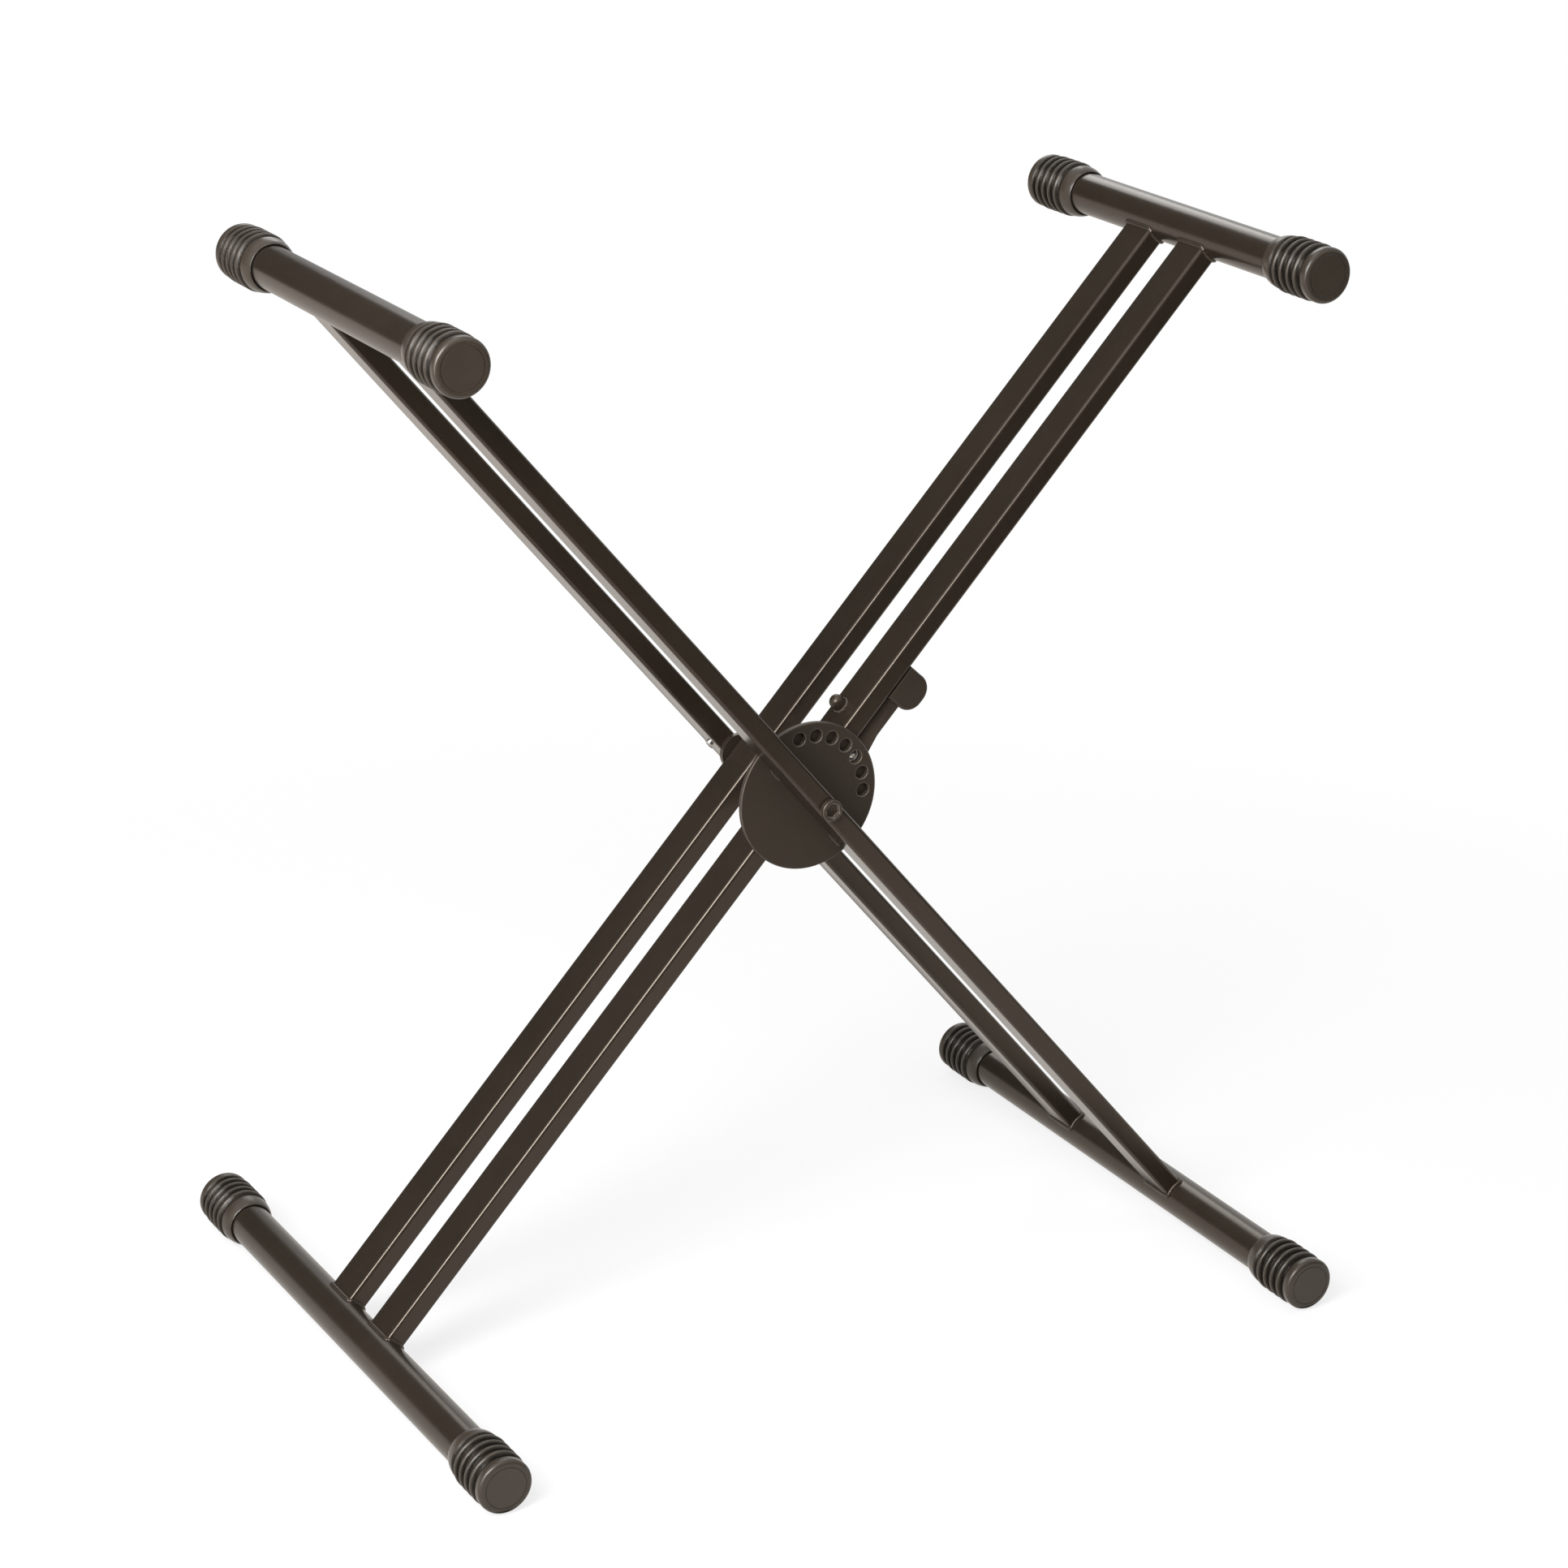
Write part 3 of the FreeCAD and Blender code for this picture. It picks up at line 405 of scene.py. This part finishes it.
def capProfile(outside, length):
    shape = capShape
    ring, dip, band = shape["faceRing"], shape["ringDepth"], outside - shape["bandDrop"]
    points = [(0, dip * 0.6), (ring * 0.45, dip * 0.5), (ring * 0.9, dip * 0.25),
              (ring - 0.5 * mm, 0.05 * mm), (ring, dip), (ring + 0.5 * mm, 0.05 * mm), (ring + 0.9 * mm, 0)]
    points += quarterRound(band, 0, shape["rim"], 1, 8)
    # round-topped ribs with narrow, deep grooves between them; the last groove opens into the tapered mouth
    first, pitch, steps = shape["firstGroove"], shape["pitch"], 20
    shoulder, lip = outside - shape["step"], shape["bore"] + shape["lip"]
    slopeEnd = length - shape["flare"] + shape["slope"]
    for i in range(-steps // 2 + 2, int((shape["grooves"] - 0.5) * steps) + 1):
        height = first + pitch * i / steps
        crest = outside - shape["bandDrop"] * (1 - easeBetween(height, first - 1 * mm, first + 1 * mm))
        crest -= shape["step"] * easeBetween(height, first + pitch * (shape["grooves"] - 1), slopeEnd)
        share = (0.5 + 0.5 * math.cos(2 * math.pi * i / steps)) ** shape["narrow"]
        points.append((crest - shape["groove"] * share, height))
    start, edge = points[-1][1], shape["lipEdge"]
    for share, swell in ((0.25, 0.35), (0.5, 0.45), (0.75, 0.3)):
        radius = shoulder + (lip - shoulder) * share + swell * mm
        points.append((radius, start + (length - edge - start) * share))
    points += [(lip, length - edge), (lip - edge, length), (shape["bore"], length),
               (shape["bore"], shape["wall"]), (0, shape["wall"])]
    return points


capNodes = [(f"{side}_{bar}_cap_{end}", f"{side}_frame") for side in ("outer", "inner")
            for bar in ("foot", "arm") for end in ("front", "rear")]
for node, body in capNodes:
    low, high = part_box(node)
    centre = middle(node)
    front = node.endswith("front")
    face = Vector((centre.x, low.y if front else high.y, centre.z))
    place = Matrix.Translation(face) @ (facingRear if front else facingFront)
    profile = capProfile((high.z - low.z) / 2, high.y - low.y)
    addPiece(node + "_ribbed", turnedMesh(node + "_ribbed", profile, place), "capRubber", body, [node])
print("rubber caps made")


# ---- weld beads

beadShape = {"radius": 2.15 * mm, "ripple": 1.7 * mm, "depth": 0.13, "around": 14, "step": 0.42 * mm}


def beadRadius(along):
    ripple = abs(math.sin(math.pi * along / beadShape["ripple"]))
    return beadShape["radius"] * (1 - beadShape["depth"] * ripple)


def beadMesh(name, centres, sides, place, closed, swell=lambda share: 1.0):
    # a rippled bead along a line of points; sides are directions square to the line
    count, around = len(centres), beadShape["around"]
    corners, faces, along = [], [], 0.0
    for i, centre in enumerate(centres):
        ahead = centres[(i + 1) % count] if closed else centres[min(i + 1, count - 1)]
        behind = centres[i - 1] if closed or i else centres[0]
        line = (ahead - behind).normalized()
        first = (sides[i] - line * sides[i].dot(line)).normalized()
        second = line.cross(first)
        radius = beadRadius(along) * swell(i / (count - 1))
        for k in range(around):
            turn = 2 * math.pi * k / around
            corners.append(centre + (first * math.cos(turn) + second * math.sin(turn)) * radius)
        along += (ahead - centre).length
    for i in range(count if closed else count - 1):
        low, high = i * around, ((i + 1) % count) * around
        for k in range(around):
            j = (k + 1) % around
            faces.append((low + k, low + j, high + j, high + k))
    if not closed:
        faces += [tuple(range(around))[::-1], tuple(range((count - 1) * around, count * around))]
    return meshFrom(name, corners, faces, place, 60)


def legOutline(step):
    # points and outward directions round a leg's section, in the plane across the leg
    halfDeep, halfWide, corner = stand["legDeep"] / 2, stand["legWide"] / 2, stand["legCorner"]
    points = []
    for quarter, (sy, sz) in enumerate(((1, 1), (-1, 1), (-1, -1), (1, -1))):
        centre = Vector((sy * (halfDeep - corner), sz * (halfWide - corner)))
        for i in range(7):
            turn = math.pi / 2 * (quarter + i / 6)
            way = Vector((math.cos(turn), math.sin(turn)))
            points.append((centre + way * corner, way))
    filled = []
    for (a, wayA), (b, wayB) in zip(points, points[1:] + points[:1]):
        pieces = max(1, round((b - a).length / step))
        for i in range(pieces):
            filled.append((a.lerp(b, i / pieces), wayA.lerp(wayB, i / pieces).normalized()))
    return filled


barRadius = 15 * mm
for frameName, matrix, footSide in (("outer", outerFrame, 1), ("inner", innerFrame, -1)):
    for bar, end in (("foot", footSide), ("arm", -footSide)):
        node = f"{frameName}_{bar}_welds"
        legMiddle = abs(middle(f"{frameName}_front_leg").y)
        for side, y in (("front", -legMiddle), ("rear", legMiddle)):
            centres, sides = [], []
            for (dy, dz), (wy, wz) in legOutline(beadShape["step"]):
                reach = stand["reach"] - math.sqrt(barRadius ** 2 - dz ** 2)
                centres.append(Vector((end * reach, y + dy, dz)))
                sides.append(Vector((0, wy, wz)))
            mesh = beadMesh(f"{node}_{side}", centres, sides, matrix, closed=True)
            addPiece(f"{node}_{side}", mesh, "weldPaint", f"{frameName}_frame", [node])

discSeams = {"above": -32 * mm, "below": 41.7 * mm, "long": 14 * mm}


def seamSwell(share):
    # a seam swells from its two ends to its middle
    return max(0.12, (1 - abs(2 * share - 1) ** 3.5)) ** 0.5


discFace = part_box("lock_disc")[0].y
for label in ("above", "below"):
    for side in (-1, 1):
        count = int(discSeams["long"] / beadShape["step"])
        start = discSeams[label] - discSeams["long"] / 2
        across = side * stand["legWide"] / 2
        line = [Vector((start + i * beadShape["step"], discFace, across)) for i in range(count)]
        sides = [Vector((0, 0, side))] * count
        name = f"disc_bead_{label}_{'left' if side < 0 else 'right'}"
        mesh = beadMesh(name, line, sides, outerFrame, False, seamSwell)
        addPiece(name, mesh, "weldPaint", "outer_frame", ["disc_welds"])
print("weld beads made")


# ---- hub bolt, its nut, and the lever's bolt and nut

boltShape = {"radius": 4 * mm, "head": 7.8 * mm, "high": 3.6 * mm, "round": 1.2 * mm, "socket": 10 * mm,
             "socketDeep": 2.6 * mm, "pitch": 1.25 * mm, "threadDeep": 0.65 * mm, "threadLong": 16 * mm,
             "turned": 18}
low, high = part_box("hub_bolt")
place = Matrix.Translation((hub.x, low.y, hub.z)) @ facingRear
bolt = boltShape
place = place @ Matrix.Rotation(math.radians(bolt["turned"]), 4, "Z")
boltLong = high.y - low.y
profile = [(0, bolt["socketDeep"] + 0.9 * mm), (hexagon(bolt["socket"] - 0.1 * mm), bolt["socketDeep"]),
           (hexagon(bolt["socket"]), bolt["socketDeep"] - 0.2 * mm), (hexagon(bolt["socket"]), 0.45 * mm),
           (5.95 * mm, 0.05 * mm), (6.1 * mm, 0)]
profile += quarterRound(bolt["head"], 0, bolt["round"], 1)
profile += [(bolt["head"], bolt["high"] - 0.25 * mm), (bolt["head"] - 0.25 * mm, bolt["high"]),
            (bolt["radius"], bolt["high"]), (bolt["radius"], boltLong - bolt["threadLong"])]
profile += threadTurns(bolt["radius"] - bolt["threadDeep"], bolt["threadDeep"], bolt["pitch"],
                       boltLong - bolt["threadLong"] + 0.3 * mm, bolt["threadLong"] - 1.3 * mm)
profile += [(bolt["radius"] - 0.9 * mm, boltLong - 0.25 * mm), (bolt["radius"] - 1.2 * mm, boltLong),
            (0, boltLong)]
mesh = turnedMesh("hub_bolt_turned", profile, place, 96)
addPiece("hub_bolt_turned", mesh, "blackOxide", "outer_frame", ["hub_bolt"])


def nutProfile(flats, high, collar, collarHigh, bore):
    corner = flats / 2 / math.cos(math.pi / 6)
    slope = math.tan(math.radians(30))
    cut = flats / 2 * 0.97
    steps = [corner * 1.002 - (corner * 1.002 - cut) * (1 - i / 4) for i in range(5)]
    points = [(bore, 0)]
    points += [(hexagon(flats, r), (r - cut) * slope) for r in steps]
    points += [(hexagon(flats, r), high - (r - cut) * slope) for r in reversed(steps)]
    points += [(collar, high + 0.15 * mm), (collar, high + collarHigh - 0.6 * mm),
               (collar - 0.25 * mm, high + collarHigh - 0.15 * mm), (collar - 0.7 * mm, high + collarHigh),
               (collar - 1.0 * mm, high + collarHigh - 0.1 * mm), (collar - 1.0 * mm, high + 0.3 * mm),
               (bore, high)]
    return points


def addNut(node, body, place, shape):
    profile = nutProfile(shape["flats"], shape["high"], shape["collar"], shape["collarHigh"], shape["bore"])
    place = place @ Matrix.Rotation(math.radians(shape["turned"]), 4, "Z")
    mesh = turnedMesh(node + "_faceted", profile, place, 96, 25)
    addPiece(node + "_faceted", mesh, "dullZinc", body, [node])
    # the locking ring inside the collar
    inside, top, bore = shape["collar"] - 1.05 * mm, shape["high"] + shape["collarHigh"], shape["bore"]
    ring = [(bore + 0.05 * mm, shape["high"] + 0.1 * mm), (inside, shape["high"] + 0.1 * mm),
            (inside, top - 0.35 * mm), (inside - 0.3 * mm, top - 0.2 * mm),
            (bore + 0.35 * mm, top - 0.25 * mm), (bore + 0.05 * mm, top - 0.5 * mm)]
    addPiece(node + "_insert", turnedMesh(node + "_insert", ring, place, 72), "nylon", body, [node])


low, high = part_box("hub_nut")
place = Matrix.Translation((hub.x, low.y, hub.z)) @ facingRear
hubNut = {"flats": 13 * mm, "high": 5.5 * mm, "collar": 5.7 * mm, "collarHigh": 2.5 * mm,
          "bore": 4.05 * mm, "turned": 9}
addNut("hub_nut", "outer_frame", place, hubNut)

# along and out place the bolt from the hub; gap is from the leg to its nut
leverBolt = {"along": 65 * mm, "out": -28 * mm, "gap": 22 * mm, "tail": 6 * mm, "radius": 3 * mm,
             "head": 5.25 * mm, "dome": 5 * mm, "high": 9 * mm, "washer": 1 * mm, "pitch": 1.0 * mm,
             "threadDeep": 0.5 * mm, "threadLong": 9 * mm}
leverNut = {"flats": 10 * mm, "high": 4 * mm, "collar": 4.4 * mm, "collarHigh": 1 * mm,
            "bore": 3.05 * mm, "turned": 14}
bolt = leverBolt
leverFrame = innerFrame @ Matrix.Translation((bolt["along"], bolt["out"], 0))
outward = Matrix.Translation((0, 0, stand["legWide"] / 2)) @ Matrix.Rotation(math.pi, 4, "X")
crown = -(bolt["washer"] + bolt["high"])
profile = [(0, crown)]
for i in range(1, 13):
    turn = math.pi / 2 * i / 12
    profile.append((bolt["head"] * math.sin(turn) ** 0.9, crown + bolt["dome"] * (1 - math.cos(turn))))
tail = stand["legWide"] / 2 + bolt["gap"] + bolt["tail"]
profile += [(bolt["head"], -bolt["washer"]), (bolt["radius"], -bolt["washer"]),
            (bolt["radius"], tail - bolt["threadLong"])]
profile += threadTurns(bolt["radius"] - bolt["threadDeep"], bolt["threadDeep"], bolt["pitch"],
                       tail - bolt["threadLong"] + 0.3 * mm, bolt["threadLong"] - 1.1 * mm)
profile += [(bolt["radius"] - 0.7 * mm, tail - 0.2 * mm), (bolt["radius"] - 1.0 * mm, tail), (0, tail)]
mesh = turnedMesh("lever_bolt_turned", profile, leverFrame @ outward, 72)
addPiece("lever_bolt_turned", mesh, "blackOxide", "inner_frame", ["lever_bolt"])
place = leverFrame @ outward @ Matrix.Translation((0, 0, stand["legWide"] / 2 + bolt["gap"]))
addNut("lever_nut", "inner_frame", place, leverNut)
print("bolts and nuts made")


# ---- lock pin

pinShape = {"radius": 4.3 * mm, "point": 1.0 * mm, "dimple": 0.7 * mm, "dome": 0.7 * mm,
            "grooves": 3, "grooveEvery": 2 * mm, "grooveDeep": 0.2 * mm}
low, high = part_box("lock_pin")
centre = middle("lock_pin")
pinLong = high.y - low.y
place = Matrix.Translation((centre.x, low.y, centre.z)) @ facingRear
pin = pinShape
profile = [(0, pin["dimple"]), (pin["dimple"] * 0.55, pin["dimple"] * 0.5), (pin["dimple"], 0.06 * mm),
           (pin["dimple"] + 0.12 * mm, 0)]
flatEnd, crownEnd = pin["dimple"] + 0.12 * mm, pin["radius"] - pin["point"]
for i in range(1, 9):
    profile.append((flatEnd + (crownEnd - flatEnd) * i / 8, pin["dome"] * (i / 8) ** 2))
profile += [(crownEnd + pin["point"] * math.sin(math.pi / 2 * i / 6),
             pin["dome"] + pin["point"] * (1 - math.cos(math.pi / 2 * i / 6))) for i in range(1, 7)]
bottom = pin["radius"] - pin["grooveDeep"]
for i in range(1, pin["grooves"] + 1):
    ringAt = pinLong * 0.5 + i * pin["grooveEvery"]  # shallow oil grooves behind the cross pin
    profile += [(pin["radius"], ringAt - 0.35 * mm), (bottom, ringAt - 0.15 * mm),
                (bottom, ringAt + 0.15 * mm), (pin["radius"], ringAt + 0.35 * mm)]
profile += [(pin["radius"], pinLong - 0.6 * mm), (pin["radius"] - 0.6 * mm, pinLong), (0, pinLong)]
mesh = turnedMesh("lock_pin_turned", profile, place, 72)
addPiece("lock_pin_turned", mesh, "brightZinc", "lock_pin", ["lock_pin"])
print("lock pin made")


# ---- pressed and moulded pieces: the solid's own shape with its edges eased

def easedPiece(node, body, material, width, segments):
    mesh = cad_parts[node].data.copy()
    work = bmesh.new()
    work.from_mesh(mesh)
    bmesh.ops.remove_doubles(work, verts=work.verts, dist=1e-6)
    bmesh.ops.dissolve_limit(work, angle_limit=math.radians(1), verts=work.verts, edges=work.edges)
    work.to_mesh(mesh)
    work.free()
    piece = addPiece(node + "_eased", mesh, material, body, [node])
    bevel = piece.modifiers.new("eased", "BEVEL")
    bevel.width = width
    bevel.segments = segments
    bevel.limit_method = "ANGLE"
    bevel.angle_limit = math.radians(40)
    smoothMesh(mesh, 40)
    return piece


easedPiece("lever_channel", "lever", "legPaint", 0.3 * mm, 3)
easedPiece("lever_grip", "lever", "gripPlastic", 0.5 * mm, 3)
easedPiece("pin_lug_front", "inner_frame", "legPaint", 0.4 * mm, 3)
easedPiece("pin_lug_rear", "inner_frame", "legPaint", 0.4 * mm, 3)
print("lever made")


# ---- finishes of the solids that stay as they are

finishOf = {"legPaint": ["_leg", "_spacer"], "barPaint": ["_bar"], "discPaint": ["lock_disc"],
            "wearPlastic": ["_glide"], "brightZinc": ["link_pin"], "blackOxide": ["lever_head_washer"],
            "dullZinc": ["side_screw", "_bush", "_sleeve", "_washer"]}
for node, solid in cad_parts.items():
    if solid.hide_render:
        continue
    finish = next(name for name, endings in finishOf.items() if any(node.endswith(e) for e in endings))
    if not solid.material_slots:
        solid.data.materials.append(None)
    for materialSlot in solid.material_slots:
        materialSlot.material = materials[finish]
    smoothMesh(solid.data)
print("solids finished")


# ---- floor, lights and camera

# lamps: place, width, height, watts, turn in degrees; flags: place, width, height, share that is solid
studio = {"floorSize": 12.0, "floorTone": 0.86, "shadowShare": 0.22, "shadowReach": 1.3, "fill": 0.33,
          "glossTint": (1.0, 0.93, 0.86, 1.0),
          "lamps": {"behind": ((1.3, 3.0, 2.7), 1.6, 1.2, 22, 0),
                    "overhead": ((-0.2, -0.2, 2.6), 1.2, 1.2, 8, 0),
                    "left": ((-1.883, -1.2, 1.80), 1.6, 1.05, 125, 41),
                    "stripGlint": ((-2.0, -0.75, 0.75), 0.3, 1.3, 20, 0)},
          "flags": {"front": ((0, -1.0, 0.5), 6.0, 1.0, 1.0), "behind": ((-1.6, 3.4, 2.2), 8.0, 3.8, 0.75)},
          "flagTone": 0.03, "floorDrop": 0.0004, "lampsAim": (0, 0, 0.35)}


def seenDirectly(tree):
    # 1 for the camera and for what is seen in gloss or through glass
    path = addNode(tree, "ShaderNodeLightPath")
    either = mathNode(tree, "MAXIMUM", path.outputs["Is Camera Ray"], path.outputs["Is Glossy Ray"])
    return mathNode(tree, "MAXIMUM", either, path.outputs["Is Transmission Ray"])


def makeFloor():
    half = studio["floorSize"] / 2
    mesh = bpy.data.meshes.new("floor")
    corners = [(-half, -half, 0), (half, -half, 0), (half, half, 0), (-half, half, 0)]
    mesh.from_pydata(corners, [], [(0, 1, 2, 3)])
    floor = bpy.data.objects.new("floor", mesh)
    floor.location.z = -studio["floorDrop"]
    bpy.context.scene.collection.objects.link(floor)
    material = bpy.data.materials.new("floorCard")
    material.use_nodes = True
    tree = material.node_tree
    tree.nodes.clear()
    diffuse = addNode(tree, "ShaderNodeBsdfDiffuse")
    diffuse.inputs["Color"].default_value = (studio["floorTone"],) * 3 + (1,)
    white = addNode(tree, "ShaderNodeEmission")
    # white in the picture, a little warm in what the paint reflects of it
    tone = addNode(tree, "ShaderNodeMix", data_type="RGBA")
    tree.links.new(addNode(tree, "ShaderNodeLightPath").outputs["Is Glossy Ray"], tone.inputs[0])
    tone.inputs[6].default_value = (1, 1, 1, 1)
    tone.inputs[7].default_value = studio["glossTint"]
    tree.links.new(tone.outputs[2], white.inputs["Color"])
    blend = addNode(tree, "ShaderNodeMixShader")
    output = addNode(tree, "ShaderNodeOutputMaterial")
    place = addNode(tree, "ShaderNodeTexCoord").outputs["Object"]
    length = addNode(tree, "ShaderNodeVectorMath", operation="LENGTH")
    tree.links.new(place, length.inputs[0])
    fade = addNode(tree, "ShaderNodeMapRange")
    fade.inputs["From Min"].default_value = studio["shadowReach"] * 0.3
    fade.inputs["From Max"].default_value = studio["shadowReach"]
    fade.inputs["To Min"].default_value = 1 - studio["shadowShare"]
    fade.inputs["To Max"].default_value = 1.0
    tree.links.new(length.outputs["Value"], fade.inputs["Value"])
    share = mathNode(tree, "MULTIPLY", seenDirectly(tree), fade.outputs["Result"])
    tree.links.new(share, blend.inputs[0])
    tree.links.new(diffuse.outputs[0], blend.inputs[1])
    tree.links.new(white.outputs[0], blend.inputs[2])
    tree.links.new(blend.outputs[0], output.inputs["Surface"])
    mesh.materials.append(material)


def makeWorld():
    world = bpy.data.worlds.new("studioWorld")
    bpy.context.scene.world = world
    world.use_nodes = True
    tree = world.node_tree
    background = tree.nodes["Background"]
    background.inputs["Color"].default_value = (1, 1, 1, 1)
    strength = spreadAround(tree, seenDirectly(tree), (1 + studio["fill"]) / 2, 1 - studio["fill"])
    tree.links.new(strength, background.inputs["Strength"])


def makeLamps():
    target = Vector(studio["lampsAim"])
    for name, (place, wide, high, power, turn) in studio["lamps"].items():
        lamp = bpy.data.lights.new(name + "Softbox", "AREA")
        lamp.shape = "RECTANGLE"
        lamp.size, lamp.size_y = wide, high
        lamp.energy = power
        holder = bpy.data.objects.new(lamp.name, lamp)
        holder.location = place
        aim = (target - Vector(place)).to_track_quat("-Z", "Y")
        holder.rotation_euler = (aim @ Quaternion((0, 0, 1), math.radians(turn))).to_euler()
        holder.visible_camera = False
        holder.visible_diffuse = not name.endswith("Glint")
        bpy.context.scene.collection.objects.link(holder)


def makeFlags():
    # dark cards out of the picture, which the gloss shows and which take no light from the stand
    for name, (place, wide, high, solid) in studio["flags"].items():
        mesh = bpy.data.meshes.new(name + "Flag")
        corners = [(x * wide / 2, 0, z * high / 2) for x, z in ((-1, -1), (1, -1), (1, 1), (-1, 1))]
        mesh.from_pydata(corners, [], [(0, 1, 2, 3)])
        material = bpy.data.materials.new(name + "Flag")
        material.use_nodes = True
        tree = material.node_tree
        tree.nodes.clear()
        dark = addNode(tree, "ShaderNodeEmission")
        fade = addNode(tree, "ShaderNodeMapRange", interpolation_type="SMOOTHSTEP")
        split = addNode(tree, "ShaderNodeSeparateXYZ")
        tree.links.new(addNode(tree, "ShaderNodeTexCoord").outputs["Object"], split.inputs["Vector"])
        tree.links.new(split.outputs["X"], fade.inputs["Value"])
        fade.inputs["From Min"].default_value = (solid - 0.5) * wide
        fade.inputs["From Max"].default_value = wide / 2
        fade.inputs["To Min"].default_value = studio["flagTone"]
        fade.inputs["To Max"].default_value = 1.0 if solid < 1 else studio["flagTone"]
        tree.links.new(fade.outputs["Result"], dark.inputs["Strength"])
        output = addNode(tree, "ShaderNodeOutputMaterial")
        tree.links.new(dark.outputs[0], output.inputs["Surface"])
        mesh.materials.append(material)
        flag = bpy.data.objects.new(name + "Flag", mesh)
        flag.location = place
        flag.visible_camera = flag.visible_diffuse = flag.visible_shadow = flag.visible_transmission = False
        bpy.context.scene.collection.objects.link(flag)


# the view of the photograph, set out from the hub
viewpoint = {"fromHub": (-1.331724, -2.307003, 0.959734), "yaw": 30.177, "pitch": -19.962, "roll": 1.746,
             "focalPixels": 4973.7, "framePixels": 1932}


def makeCamera():
    yaw, pitch, roll = (math.radians(viewpoint[key]) for key in ("yaw", "pitch", "roll"))
    ahead = Vector((math.sin(yaw) * math.cos(pitch), math.cos(yaw) * math.cos(pitch), math.sin(pitch)))
    level = Vector((math.cos(yaw), -math.sin(yaw), 0))
    upright = level.cross(ahead)
    right = level * math.cos(roll) + upright * math.sin(roll)
    up = -level * math.sin(roll) + upright * math.cos(roll)
    data = bpy.data.cameras.new("photoCamera")
    data.sensor_width = 36
    data.lens = 36 * viewpoint["focalPixels"] / viewpoint["framePixels"]
    data.clip_end = 50
    camera = bpy.data.objects.new("photoCamera", data)
    camera.matrix_world = (Matrix.Translation(hub + Vector(viewpoint["fromHub"]))
                           @ Matrix((right, up, -ahead)).transposed().to_4x4())
    bpy.context.scene.collection.objects.link(camera)
    bpy.context.scene.camera = camera


makeFloor()
makeWorld()
makeLamps()
makeFlags()
makeCamera()
bpy.context.scene.view_settings.view_transform = "Standard"
print("studio made")
